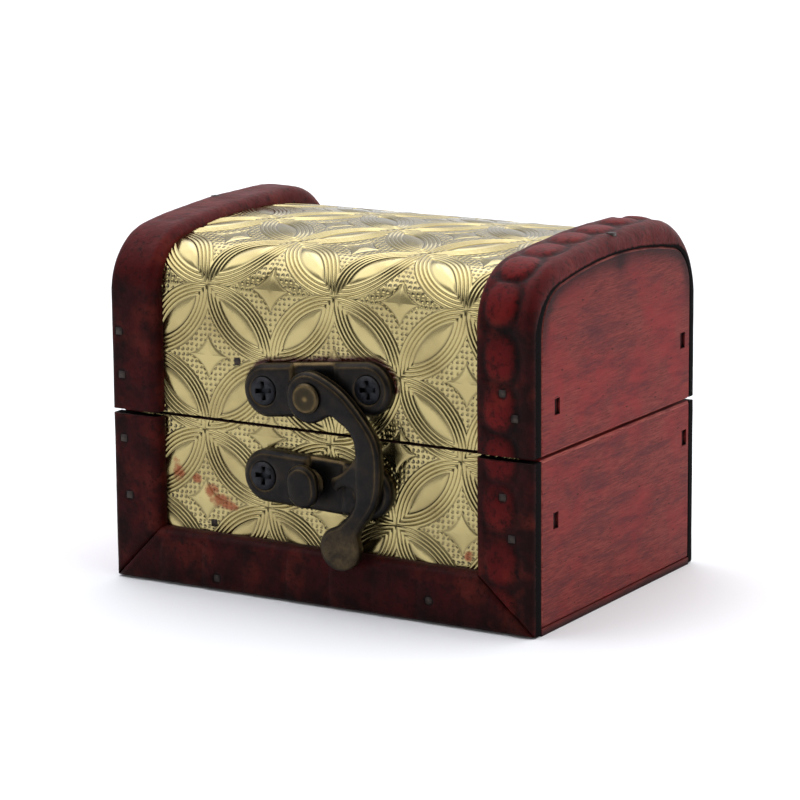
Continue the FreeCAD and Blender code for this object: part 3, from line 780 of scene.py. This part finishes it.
def strip_piece(leather, strip, material):
    """A pillowy leather strip in the place of its CAD node."""
    width = strip.width
    inner, first, last = strip.rolls
    across = edge_samples(width, inner, leather.crown_roll, ACROSS_STEP)
    longest = max(abs(strip.end(c) - strip.start(c)) for c in (0.0, width))
    share = edge_samples(longest, first, last, ALONG_STEP) / longest
    walls = len(WALL_SHARES)
    across_wall = np.concatenate((WALL_SHARES, np.zeros(len(across)), WALL_SHARES[::-1]))
    share_wall = np.concatenate((WALL_SHARES, np.zeros(len(share)), WALL_SHARES[::-1]))
    across = np.pad(across, walls, mode="edge")
    share = np.pad(share, walls, mode="edge")
    wall = np.maximum(share_wall[:, None], across_wall[None, :])
    c = np.broadcast_to(across[None, :], wall.shape)
    begin = np.array([strip.start(value) for value in across])[None, :]
    finish = np.array([strip.end(value) for value in across])[None, :]
    along = begin + share[:, None] * (finish - begin)
    points, normals, depth, crown = strip.place(along, c)

    outer = leather.side_roll + (leather.crown_roll - leather.side_roll) * crown
    slants = [math.cos(math.atan((edge(width) - edge(0.0)) / width)) for edge in (strip.start, strip.end)]
    drop = rolled(c, inner) + rolled(width - c, outer)
    drop = np.maximum(drop, rolled((along - begin) * slants[0], first))
    drop = np.maximum(drop, rolled((finish - along) * slants[1], last))
    flatness = np.clip(1 - drop / FLATNESS_DEPTH, 0, 1)
    drop = wall * depth + (1 - wall) * np.minimum(drop, depth)
    relief, crease, rubbed = pressed_scales(leather, along, c, strip.scales)
    top = (wall == 0).ravel()
    base_points = points.reshape(-1, 3)
    base_normals = normals.reshape(-1, 3)
    seeded = (Vector(point) / DRIFT_SIZE + strip.seed for point in base_points)
    drift = np.array([noise.fractal(point, *DRIFT_FRACTAL) for point in seeded])
    lift = (relief * flatness - drop).ravel() + DRIFT_HEIGHT * (drift - 1) * top
    placed = base_points + base_normals * np.where(top, lift, -drop.ravel())[:, None]
    bedded = placed[top].copy()
    pressed = np.zeros(len(placed))
    brads = f"{strip.body}_trim_brads"
    pressed[top] = bed_brads(bedded, base_normals[top], brads, LEATHER_BRAD_BED, LEATHER_BRAD_RIM)
    placed[top] = bedded

    rows, columns = wall.shape
    numbers = np.arange(rows * columns).reshape(rows, columns)
    faces = grid_quads(rows, columns).tolist()
    below = np.stack((numbers[1:-2, 0], numbers[2:-1, 0], numbers[2:-1, -1], numbers[1:-2, -1]), axis=1)
    faces += below.tolist()
    faces.append([*numbers[0].tolist(), int(numbers[1, -1]), int(numbers[1, 0])])
    faces.append([*numbers[-1, ::-1].tolist(), int(numbers[-2, 0]), int(numbers[-2, -1])])
    black = leather.side_black + (leather.crown_black - leather.side_black) * crown
    raw = np.clip((black - (depth - drop)) / FADE + 0.5, 0, 1) * (c > width / 2)
    raw = np.maximum(raw, END_RAW * np.ceil(share_wall)[:, None])
    mesh = bpy.data.meshes.new(strip.name + "_leather")
    mesh.from_pydata(placed, [], faces)
    # The dimples round the brads are painted dark along with the creases: painted shade
    crease = np.maximum((crease * flatness).ravel() * top, pressed)
    shaded = OUTER_SHADE * (1 - crown) * smooth((c / width - OUTER_START) / (1 - OUTER_START))
    rubbed = rubbed * (1 - shaded) + CROWN_RUBBED * crown
    set_attributes(mesh, crease=crease, raw=raw.ravel(), rubbed=rubbed.ravel())
    bm = bmesh.new()
    bm.from_mesh(mesh)
    bmesh.ops.recalc_face_normals(bm, faces=bm.faces)
    bm.to_mesh(mesh)
    bm.free()
    add_piece(mesh, material, strip.body, strip.name)


LEATHER_NAME = "embossed_dyed_leather"


def embossed_leather(leather):
    """Belt leather, pressed with scales, dyed red, rubbed with black wax: satin grain, black cut edges,
    creases and brad dimples darkened with wax and painted shade.
    """
    if LEATHER_NAME in bpy.data.materials:
        return bpy.data.materials[LEATHER_NAME]
    material, node = new_material(LEATHER_NAME)
    place = node("TexCoord", None, "Object")
    crease, raw, handled = (
        node("Attribute", None, "Fac", attribute_name=label) for label in ("crease", "raw", "rubbed")
    )
    clouds, embers, grain, ragged, wrinkles = (
        node(
            "TexNoise",
            {
                "Vector": place,
                "Scale": 1 / (size * MM),
                "Detail": detail,
                "Roughness": rough,
                "Distortion": twist,
            },
        )
        for size, detail, rough, twist in (
            (4.5, 5.0, 0.62, 0.0),
            (6.5, 3.0, 0.55, 0.0),
            (1.1, 6.0, 0.7, 0.0),
            (0.5, 4.0, 0.7, 0.0),
            (1.8, 6.0, 0.6, 0.8),
        )
    )
    pores = node("TexVoronoi", {"Vector": place, "Scale": 1 / (0.45 * MM)}, feature="SMOOTH_F1")
    cloudy, satin = (
        node("MapRange", {"Value": clouds, "From Min": 0.3, "From Max": 0.7, "To Min": low, "To Max": high})
        for low, high in ((-0.16, 0.16), (0.58, 0.42))
    )
    # Creases take the fibre colour: dark wax with painted shade
    uneven, creases_wax_and_shade, torn = (
        node("Math", {0: share, 1: change}, operation="ADD")
        for share, change in ((handled, cloudy), (crease, grain), (raw, ragged))
    )
    surface = leather.shade
    for value, low, high, most, over in (
        (uneven, 0.0, 0.95, 1.0, leather.dye),
        (embers, 0.52, 0.74, 0.4, leather.ember),
        (grain, 0.5, 0.66, 0.8, leather.shade),
        (creases_wax_and_shade, 0.62, 1.25, 0.85, leather.fibre),
        (torn, 0.85, 1.15, 1.0, leather.fibre),
    ):
        surface = coat(node, value, low, high, most, surface, over)
    bare = node("MapRange", {"Value": torn, "From Min": 0.85, "From Max": 1.15})
    wrinkled = node("Bump", {"Height": wrinkles, "Strength": 0.5, "Distance": 0.22 * MM})
    grained = node("Bump", {"Height": pores, "Strength": 0.4, "Distance": 0.06 * MM, "Normal": wrinkled})
    facing = node("NewGeometry", None, "Normal")
    upward = node("SeparateXYZ", {"Vector": facing}, "Z")
    lying = node("MapRange", {"Value": upward, "From Min": 0.1, "From Max": 0.7, "To Max": 0.14})
    rough, bloom = (
        node("Mix", {"Factor": bare, 2: grain_side, 3: cut_side}, data_type="FLOAT")
        for grain_side, cut_side in ((satin, 0.95), (lying, 0.0))
    )
    inputs = {
        "Base Color": surface,
        "Roughness": rough,
        "Specular IOR Level": 0.06,
        "Sheen Weight": bloom,
        "Sheen Roughness": 0.4,
        "Sheen Tint": leather.bloom,
        "Normal": grained,
    }
    return finish_material(material, node, inputs)


SEAT_WINDOW = 7


def seat_depth(node, points, normals):
    """Depths below points at which a CAD node lies, against the normals, with its brad holes passed over."""
    tree = node_tree(node)
    depths = []
    for point, normal in zip(points, normals):
        found = tree.ray_cast(Vector(point), -Vector(normal))[3]
        if found is None:
            raise RuntimeError(f"{node} isn't under the leather at {point}")
        depths.append(found)
    padded = np.pad(depths, SEAT_WINDOW // 2, mode="edge")
    return np.median(np.lib.stride_tricks.sliding_window_view(padded, SEAT_WINDOW), axis=-1)


# The sides, their direction, and how clearly the scales show there
SIDES = (("left", -1, 0.12), ("right", 1, 1.0))
# Scales of the side strips: shares of the depth and of their own colour, and the phase
LID_SCALES = (1.0, 0.65, 0.1)
BASE_SCALES = (0.7, 0.5, 0.55)
# Scales of the bottom strips: depth, share of their own colour, squareness and width of the crease
BOTTOM_SCALES = (0.45, 0.0, 7.0, 0.07)
BOTTOM_PHASE = 0.3
SIDE_SQUARENESS = 2.4
SIDE_CREASE = 0.2
EDGE_GAP = 0.1 * MM
SEAT_STATIONS = 120
SHEET_PROBE = 1.0 * MM
WALL_PROBE = 1.0 * MM
SHEET_SINK = 0.25 * MM
SEAT_SINK = 0.05 * MM


def strip_span(leather, low, high, way):
    """Inner edge and width of a side strip. The left ones are narrower and stand out past the end wall."""
    inside = min(abs(low.x), abs(high.x)) + (leather.left_shift if way < 0 else -leather.right_shift)
    outside = max(abs(low.x), abs(high.x)) - EDGE_GAP + (leather.overhang if way < 0 else 0)
    return inside, outside - inside


def side_scales(leather, shown, shares):
    """The scales of a side strip, by how clearly they show."""
    depth, own_colour, phase = shares
    across = (leather.scale_inset, leather.scale_width)
    return Scales(depth * shown, own_colour * shown, SIDE_SQUARENESS, SIDE_CREASE, *across, phase)


class KEEPSAKE_OT_lid_bands(bpy.types.Operator):
    """Lay the leather bands over the lid"""

    bl_idname = "keepsake.lid_bands"
    bl_label = "Lid bands"

    def execute(self, context):
        leather = context.scene.keepsake.leather
        material = embossed_leather(leather)
        shoulders = (leather.lid_front_shoulder, leather.lid_back_shoulder)
        for side, way, shown in SIDES:
            name = f"lid_{side}_strip"
            low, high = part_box(name)
            line = Arch(low.y, high.y, low.z, high.z, shoulders, leather.lid_crown, leather.lid_crest)
            inside, width = strip_span(leather, low, high, way)
            stations = np.linspace(0, line.length, SEAT_STATIONS)
            outside = max(abs(low.x), abs(high.x))
            reaches = {"lid_sheet": inside + SHEET_PROBE, f"lid_{side}_end": outside - WALL_PROBE}
            seats = []
            for seat, reach in reaches.items():
                points, normals = line.at(stations)
                probes = place_points(np.full(len(stations), way * reach), points, normals, 0)
                seats.append(seat_depth(seat, probes, np.column_stack((np.zeros(len(normals)), normals))))

            def place(along, across):
                points, normals = line.at(along)
                swell = leather.back_swell * smooth(points[..., 0] / high.y)
                inner = np.interp(along, stations, seats[0]) + SHEET_SINK
                outer = np.interp(along, stations, seats[1]) + SEAT_SINK
                depth = inner + (outer - inner) * np.minimum(across / width, 1) + swell
                placed = place_points(way * (inside + across), points, normals, swell)
                outward = np.concatenate((np.zeros((*along.shape, 1)), normals), axis=-1)
                return placed, outward, depth, np.clip(normals[..., 1], 0, 1)

            strip_piece(
                leather,
                Strip(
                    name=name,
                    body="lid",
                    width=width,
                    start=lambda c: 0.0,
                    end=lambda c: line.length,
                    rolls=(leather.inner_roll, leather.seam_roll, leather.hinge_roll),
                    scales=side_scales(leather, shown, LID_SCALES),
                    seed=Vector((way, 2, 3)),
                    place=place,
                ),
                material,
            )
        return {"FINISHED"}


class KEEPSAKE_OT_base_strips(bpy.types.Operator):
    """Lay the leather strips on the base"""

    bl_idname = "keepsake.base_strips"
    bl_label = "Base strips"

    def execute(self, context):
        leather = context.scene.keepsake.leather
        material = embossed_leather(leather)
        for face, way in (("front", -1), ("back", 1)):
            bottom_low, bottom_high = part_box(f"base_{face}_bottom_strip")
            swell = leather.back_swell if way > 0 else 0.0
            end_roll = leather.hinge_roll if way > 0 else leather.seam_roll
            outer_y = bottom_high.y + swell if way > 0 else bottom_low.y
            depth = bottom_high.y - bottom_low.y + SEAT_SINK + swell
            side_low, side_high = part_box(f"base_{face}_right_strip")
            spans = {hand: strip_span(leather, side_low, side_high, hand) for _, hand, _ in SIDES}
            tall = bottom_high.z - bottom_low.z
            normal = np.array((0, way, 0))

            def lay(x, z):
                points = np.stack((x, np.full(x.shape, outer_y), z), axis=-1)
                normals = np.broadcast_to(normal, points.shape)
                return points, normals, np.full(x.shape, depth), np.zeros(x.shape)

            for side, hand, shown in SIDES:
                inside, width = spans[hand]
                strip_piece(
                    leather,
                    Strip(
                        name=f"base_{face}_{side}_strip",
                        body="base",
                        width=width,
                        start=lambda c: bottom_high.z - c * tall / width,
                        end=lambda c: side_high.z,
                        rolls=(leather.inner_roll, leather.mitre_roll, end_roll),
                        scales=side_scales(leather, shown, BASE_SCALES),
                        seed=Vector((hand, way, 7)),
                        place=lambda along, across: lay(hand * (inside + across), along),
                    ),
                    material,
                )

            strip_piece(
                leather,
                Strip(
                    name=f"base_{face}_bottom_strip",
                    body="base",
                    width=tall,
                    start=lambda c: -spans[-1][0] - c * spans[-1][1] / tall,
                    end=lambda c: spans[1][0] + c * spans[1][1] / tall,
                    rolls=(leather.inner_roll, leather.mitre_roll, leather.mitre_roll),
                    scales=Scales(*BOTTOM_SCALES, leather.inner_roll, tall, BOTTOM_PHASE),
                    seed=Vector((4, way, 5)),
                    place=lambda along, across: lay(along, bottom_high.z - across),
                ),
                material,
            )
        return {"FINISHED"}


# Heights between which painted shade darkens the rim under the bands, and between which the foot gets darker
BAND_SHADE_LOW = 40 * MM
BAND_SHADE_HIGH = 54 * MM
FOOT_LOW = 0.3 * MM
FOOT_HIGH = 1.6 * MM


def stained_wood(wood):
    """Sanded softwood under red stain: fine grain, waxed patches, worn arrises, painted shade on the rim
    under the bands and in hollows, a darker foot.
    """
    material, node = new_material("red_stained_wood")
    place = node("TexCoord", None, "Object")
    grain = drawn_noise(node, place, (0.26, 3.6, 0.26), 6.0, 0.72, lean=5)
    patches = drawn_noise(node, place, (2.4, 13, 2.4), 7.0, 0.74)
    pores = drawn_noise(node, place, (0.4, 1.4, 0.4), 2.0, 0.5)
    flushed = node("TexNoise", {"Vector": place, "Scale": 1 / (11 * MM), "Detail": 3.0, "Roughness": 0.6})
    streaked = node("MapRange", {"Value": grain, "From Min": 0.36, "From Max": 0.64})
    surface = node("Mix", {"Factor": streaked, 6: wood.middle, 7: wood.light}, 2, data_type="RGBA")
    for value, low, high, most, over in (
        (flushed, 0.48, 0.68, 0.75, wood.ruddy),
        (patches, 0.46, 0.72, 0.85, wood.dark),
        (pores, 0.66, 0.72, 0.7, wood.rim),
    ):
        surface = coat(node, value, low, high, most, surface, over)

    turned = node("NewGeometry", None, "True Normal")
    aside = node("SeparateXYZ", {"Vector": turned}, "X")
    outward = node("Math", {0: aside}, operation="ABSOLUTE")
    arris = node("MapRange", {"Value": outward, "From Min": 0.95, "From Max": 0.85, "To Max": 0.8})
    eased = node("MapRange", {"Value": outward, "From Min": 0.1, "From Max": 0.4})
    handled = node("Math", {0: arris, 1: eased}, operation="MULTIPLY")
    rubbed = node("Math", {0: handled, 1: streaked}, operation="MULTIPLY")
    # Painted shade: the rim high up under the leather bands is darkened
    depth = node("AmbientOcclusion", {"Distance": 3.5 * MM}, "AO", inside=True, only_local=True, samples=8)
    rim = node("Math", {0: depth, 1: patches}, operation="ADD")
    rim_shade_under_bands = node("MapRange", {"Value": rim, "From Min": 1.5, "From Max": 1.1, "To Max": 0.9})
    height = node("SeparateXYZ", {"Vector": place}, "Z")
    high_up = node(
        "MapRange",
        {"Value": height, "From Min": BAND_SHADE_LOW, "From Max": BAND_SHADE_HIGH},
        interpolation_type="SMOOTHSTEP",
    )
    painted_shade_under_bands = node("Math", {0: rim_shade_under_bands, 1: high_up}, operation="MULTIPLY")
    # Painted shade in hollows, and a darker foot
    open_air = node("AmbientOcclusion", {"Distance": 1.2 * MM}, "AO", only_local=True, samples=8)
    hollow_shade = node("MapRange", {"Value": open_air, "From Min": 0.85, "From Max": 0.55})
    foot = node("MapRange", {"Value": height, "From Min": FOOT_HIGH, "From Max": FOOT_LOW, "To Max": 0.9})
    hollow_shade_and_dark_foot = node("Math", {0: hollow_shade, 1: foot}, operation="MAXIMUM")
    for share, over in ((rubbed, wood.worn), (painted_shade_under_bands, wood.rim), (hollow_shade_and_dark_foot, wood.rim)):
        surface = node("Mix", {"Factor": share, 6: surface, 7: over}, 2, data_type="RGBA")
    bumped = node("Bump", {"Height": grain, "Strength": 0.3, "Distance": 0.1 * MM})
    satin = node(
        "MapRange", {"Value": patches, "From Min": 0.3, "From Max": 0.7, "To Min": 0.4, "To Max": 0.56}
    )
    inputs = {"Base Color": surface, "Roughness": satin, "Specular IOR Level": 0.05, "Normal": bumped}
    return finish_material(material, node, inputs)


def sawn_boards(wood):
    """Sawn poplar boards, wiped with thin stain: matt, straight grain along the board."""
    material, node = new_material("sawn_poplar_board")
    place = node("TexCoord", None, "Object")
    grain = drawn_noise(node, place, (18, 0.9, 0.9), 6.0, 0.6)
    surface = coat(node, grain, 0.25, 0.75, 0.8, wood.inside, wood.dark)
    bumped = node("Bump", {"Height": grain, "Strength": 0.4, "Distance": 0.12 * MM})
    inputs = {"Base Color": surface, "Roughness": 0.7, "IOR": 1.5, "Normal": bumped}
    return finish_material(material, node, inputs)


class KEEPSAKE_OT_wood(bpy.types.Operator):
    """Stain the wooden walls and boards"""

    bl_idname = "keepsake.wood"
    bl_label = "Wood"

    def execute(self, context):
        wood = context.scene.keepsake.wood
        ends = ("base_left_end", "base_right_end", "lid_left_end", "lid_right_end")
        paint(stained_wood(wood), *ends, "bottom_board")
        rails = ("lid_front_rail", "lid_back_rail")
        paint(sawn_boards(wood), "base_front_panel", "base_back_panel", *rails, "lid_top_board")
        return {"FINISHED"}


# Direction from which hands rub the clasp, where its painted highlights also face, and the heights between
# which its grip gets thinner patina
HANDLED_AND_LIT = (0.35, -0.2, 0.9)
HELD_HIGH = 17 * MM
HELD_LOW = 10 * MM


def worn_metal(name, cover, bare, painted_shade, metallic, rough, wear):
    """Cast metal under a dark patina that is rubbed off at the edges: hollows darkened as painted shade,
    brassy rims, with painted highlight where edges face the light.
    """
    material, node = new_material(name)
    place = node("TexCoord", None, "Object")
    clouds = node("TexNoise", {"Vector": place, "Scale": 1 / (2.2 * MM), "Detail": 5.0, "Roughness": 0.65})
    pits = node("TexNoise", {"Vector": place, "Scale": 1 / (0.3 * MM), "Detail": 3.0})
    eased = node("Bevel", {"Radius": 1.8 * MM}, samples=16)
    true = node("NewGeometry", None, "Normal")
    facing, met_and_lit = (
        node("VectorMath", {0: eased, 1: way}, "Value", operation="DOT_PRODUCT") for way in (true, HANDLED_AND_LIT)
    )
    edge = node("MapRange", {"Value": facing, "From Min": 0.995, "From Max": 0.85})
    # Edges facing that direction are rubbed to brass and carry painted highlight
    handled = node("MapRange", {"Value": met_and_lit, "From Min": -0.1, "From Max": 0.6, "To Min": 0.15})
    touched = node("Math", {0: edge, 1: handled}, operation="MULTIPLY")
    rubbed = node("Math", {0: touched, 1: clouds}, operation="MULTIPLY")
    worn = node("MapRange", {"Value": rubbed, "From Min": 0.04, "From Max": 0.5, "To Max": 0.7 * wear})
    height = node("SeparateXYZ", {"Vector": place}, "Z")
    held = node(
        "MapRange",
        {
            "Value": height,
            "From Min": HELD_HIGH,
            "From Max": HELD_LOW,
            "To Min": 0.08 * wear,
            "To Max": 0.5 * wear,
        },
        interpolation_type="SMOOTHSTEP",
    )
    thin = node("MapRange", {"Value": clouds, "From Min": 0.25, "From Max": 0.85, "To Max": held})
    laid_bare = node("Math", {0: worn, 1: thin}, operation="MAXIMUM")
    surface = node("Mix", {"Factor": laid_bare, 6: cover, 7: bare}, 2, data_type="RGBA")
    # Painted shade in hollows
    open_air = node("AmbientOcclusion", {"Distance": 0.9 * MM}, "AO", only_local=True, samples=8)
    surface = coat(node, open_air, 0.75, 0.35, 0.9, surface, painted_shade)
    gloss = node("MapRange", {"Value": clouds, "To Min": rough + 0.1, "To Max": rough - 0.1})
    bumped = node("Bump", {"Height": pits, "Strength": 0.25, "Distance": 0.04 * MM, "Normal": eased})
    inputs = {"Base Color": surface, "Metallic": metallic, "Roughness": gloss, "Normal": bumped}
    return finish_material(material, node, inputs)


# Rings on the rivet's head, from its middle: distance and share of bare brass; the bright middle and rim and
# the dark ring are rubbed brass with painted highlight and shade
RIVET_RINGS = ((0.0, 0.5), (0.3, 0.4), (0.6, 0.06), (1.2, 0.03), (1.7, 0.06), (2.1, 0.35), (2.4, 0.15))


def peened_rivet(metal, name):
    """Brass rivet, hammered flat: a bright dimple in the middle, a dark ring, a rubbed rim, partly painted
    highlight and shade.
    """
    low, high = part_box(name)
    material, node = new_material("peened_brass_rivet")
    place = node("TexCoord", None, "Object")
    flat = node("VectorMath", {0: place, 1: (1, 0, 1)}, operation="MULTIPLY")
    middle = ((low.x + high.x) / 2, 0, (low.z + high.z) / 2)
    away = node("VectorMath", {0: flat, 1: middle}, "Value", operation="DISTANCE")
    reach = (high.x - low.x) / 2
    share = node("MapRange", {"Value": away, "From Max": reach})
    rings = node("ValToRGB", {"Fac": share})
    stops = rings.node.color_ramp.elements
    while len(stops) < len(RIVET_RINGS):
        stops.new(0.5)
    for stop, (distance, bare) in zip(stops, RIVET_RINGS):
        stop.position = distance * MM / reach
        stop.color = (bare, bare, bare, 1)
    clouds = node("TexNoise", {"Vector": place, "Scale": 1 / (0.9 * MM), "Detail": 4.0})
    rubbed = node("Math", {0: rings, 1: clouds}, operation="MULTIPLY")
    surface = coat(node, rubbed, 0.0, 0.5, 1.0, metal.rivet, metal.brass)
    bumped = node("Bump", {"Height": rings, "Strength": 0.5, "Distance": 0.2 * MM})
    inputs = {"Base Color": surface, "Metallic": 1.0, "Roughness": 0.4, "Normal": bumped}
    return finish_material(material, node, inputs)


CLASP = ("catch_plate", "catch_post", "latch_plate", "swing_arm")
CLASP_SCREWS = ("catch_screws", "latch_screws")
TRIM_BRADS = ("base_trim_brads", "lid_trim_brads")
END_BRADS = ("base_end_brads", "lid_end_brads")
HINGES = (
    *(f"{side}_hinge_{body}_leaf" for side in ("left", "right") for body in ("base", "lid")),
    "hinge_pins",
    "base_hinge_nails",
    "lid_hinge_nails",
)


class KEEPSAKE_OT_metalwork(bpy.types.Operator):
    """Give the clasp, the screws, the hinges and the brads their metals"""

    bl_idname = "keepsake.metalwork"
    bl_label = "Metalwork"

    def execute(self, context):
        metal = context.scene.keepsake.metal
        for name, cover, bare, metallic, rough, wear, nodes in (
            ("antiqued_cast_bronze", metal.patina, metal.brass, 0.9, 0.42, 0.9, CLASP),
            ("antiqued_pressed_brass", metal.patina, metal.brass, 1.0, 0.4, 0.9, HINGES),
            ("blackened_steel_screw", metal.screw, metal.steel, 0.6, 0.42, 0.25, CLASP_SCREWS),
            ("cut_steel_brad", metal.steel, metal.screw, 1.0, 0.45, 0.4, TRIM_BRADS),
            # The sunk brads are painted nearly black, as the shade in their pockets
            ("sunk_steel_brad", metal.painted_shade, metal.screw, 0.5, 0.7, 0.2, END_BRADS),
        ):
            paint(worn_metal(name, cover, bare, metal.painted_shade, metallic, rough, wear), *nodes)
        paint(peened_rivet(metal, "latch_rivet"), "latch_rivet")
        return {"FINISHED"}


FLOOR_LIFT = 0.03


def paper_sweep(stage):
    """White paper: matt, faint tooth, lifted to white where the camera, metal and glass see it."""
    material, node = new_material("white_paper_sweep")
    place = node("TexCoord", None, "Object")
    tooth = node("TexNoise", {"Vector": place, "Scale": 1 / (1.5 * MM), "Detail": 2.0})
    bumped = node("Bump", {"Height": tooth, "Strength": 0.05, "Distance": 0.1 * MM})
    shown, *others = (
        node("LightPath", None, f"Is {ray} Ray") for ray in ("Camera", "Glossy", "Transmission")
    )
    for other in others:
        shown = node("Math", {0: shown, 1: other}, operation="MAXIMUM")
    lifted = node("Math", {0: shown, 1: FLOOR_LIFT}, operation="MULTIPLY")
    inputs = {
        "Base Color": stage.floor,
        "Roughness": 0.9,
        "Specular IOR Level": 0.0,
        "Emission Color": (1, 1, 1, 1),
        "Emission Strength": lifted,
        "Normal": bumped,
    }
    return finish_material(material, node, inputs)


# Heights at which the tent's cloth begins, the edges of its opening and of its bright pane, and how the
# pane is longer from front to back
CLOTH_HEIGHT = (0.25, 0.5)
OPENING_EDGE = (0.35, 0.9)
PANE_EDGE = (0.5, 0.3)
PANE_STRETCH = (1, 0.48, 1)


def light_tent(stage):
    """World of a light tent: a bright pane above on the left, soft cloth, a dark opening low in front."""
    world = bpy.data.worlds.new("light_tent")
    world.use_nodes = True
    world.node_tree.nodes.clear()
    node = partial(add, world.node_tree)
    way = node("TexCoord", None, "Generated")
    high = node("SeparateXYZ", {"Vector": way}, "Z")
    facing = node("VectorMath", {0: way, 1: stage.opening}, "Value", operation="DOT_PRODUCT")
    aside = node("VectorMath", {0: way, 1: stage.pane}, operation="SUBTRACT")
    stretched = node("VectorMath", {0: aside, 1: PANE_STRETCH}, operation="MULTIPLY")
    away = node("VectorMath", {0: stretched}, "Value", operation="LENGTH")
    level = stage.low_level
    for place, start, end, brightness in (
        (high, *CLOTH_HEIGHT, stage.wall_level),
        (facing, *OPENING_EDGE, stage.open_level),
        (away, *PANE_EDGE, stage.pane_level),
    ):
        share = node(
            "MapRange",
            {"Value": place, "From Min": start, "From Max": end},
            interpolation_type="SMOOTHSTEP",
        )
        level = node("Mix", {"Factor": share, 2: level, 3: brightness}, data_type="FLOAT")
    light = node("Background", {"Color": stage.tent, "Strength": level})
    node("OutputWorld", {"Surface": light})
    return world


FLOOR_GAP = 0.02 * MM


class KEEPSAKE_OT_stage(bpy.types.Operator):
    """Set the floor, the light and the camera"""

    bl_idname = "keepsake.stage"
    bl_label = "Stage"

    def execute(self, context):
        scene = context.scene
        stage = scene.keepsake.stage
        half = stage.floor_half
        mesh = bpy.data.meshes.new("floor")
        corners = [(-half, -half, 0), (half, -half, 0), (half, half, 0), (-half, half, 0)]
        mesh.from_pydata(corners, [], [(0, 1, 2, 3)])
        mesh.materials.append(paper_sweep(stage))
        floor = bpy.data.objects.new("floor", mesh)
        floor.location.z = -FLOOR_GAP
        scene.collection.objects.link(floor)
        scene.world = light_tent(stage)

        lamp = bpy.data.lights.new("soft_key", "SUN")
        lamp.energy = stage.key
        lamp.angle = stage.key_size
        key = bpy.data.objects.new("soft_key", lamp)
        key.rotation_euler = (-Vector(stage.key_place)).to_track_quat("-Z", "Y").to_euler()
        scene.collection.objects.link(key)

        lens = bpy.data.cameras.new("camera")
        lens.lens = stage.lens
        lens.sensor_width = stage.sensor
        camera = bpy.data.objects.new("camera", lens)
        turn = Matrix.Rotation(stage.azimuth, 4, "Z")
        turn = turn @ Matrix.Rotation(math.pi / 2 - stage.elevation, 4, "X")
        turn = turn @ Matrix.Rotation(-stage.roll, 4, "Z")
        away = turn @ Vector((0, 0, stage.distance))
        camera.matrix_world = Matrix.Translation(Vector(stage.aim) + away) @ turn
        scene.collection.objects.link(camera)
        scene.camera = camera
        scene.view_settings.view_transform = "Standard"
        return {"FINISHED"}


SETTINGS = (GoldSettings, LeatherSettings, WoodSettings, MetalSettings, StageSettings, KeepsakeSettings)
OPERATORS = (
    KEEPSAKE_OT_gold_sheets,
    KEEPSAKE_OT_lid_bands,
    KEEPSAKE_OT_base_strips,
    KEEPSAKE_OT_wood,
    KEEPSAKE_OT_metalwork,
    KEEPSAKE_OT_stage,
)


class KEEPSAKE_PT_sidebar(bpy.types.Panel):
    """The pieces of the box"""

    bl_idname = "KEEPSAKE_PT_sidebar"
    bl_label = "Keepsake Box"
    bl_space_type = "VIEW_3D"
    bl_region_type = "UI"
    bl_category = "Keepsake Box"

    def draw(self, context):
        for operator in OPERATORS:
            self.layout.operator(operator.bl_idname)


def register():
    for cls in (*SETTINGS, *OPERATORS, KEEPSAKE_PT_sidebar):
        bpy.utils.register_class(cls)
    bpy.types.Scene.keepsake = PointerProperty(type=KeepsakeSettings)


def unregister():
    del bpy.types.Scene.keepsake
    for cls in reversed((*SETTINGS, *OPERATORS, KEEPSAKE_PT_sidebar)):
        bpy.utils.unregister_class(cls)


def main():
    register()
    bpy.ops.keepsake.gold_sheets()
    bpy.ops.keepsake.lid_bands()
    bpy.ops.keepsake.base_strips()
    bpy.ops.keepsake.wood()
    bpy.ops.keepsake.metalwork()
    bpy.ops.keepsake.stage()
    bpy.context.view_layer.update()


if __name__ == "__main__":
    main()
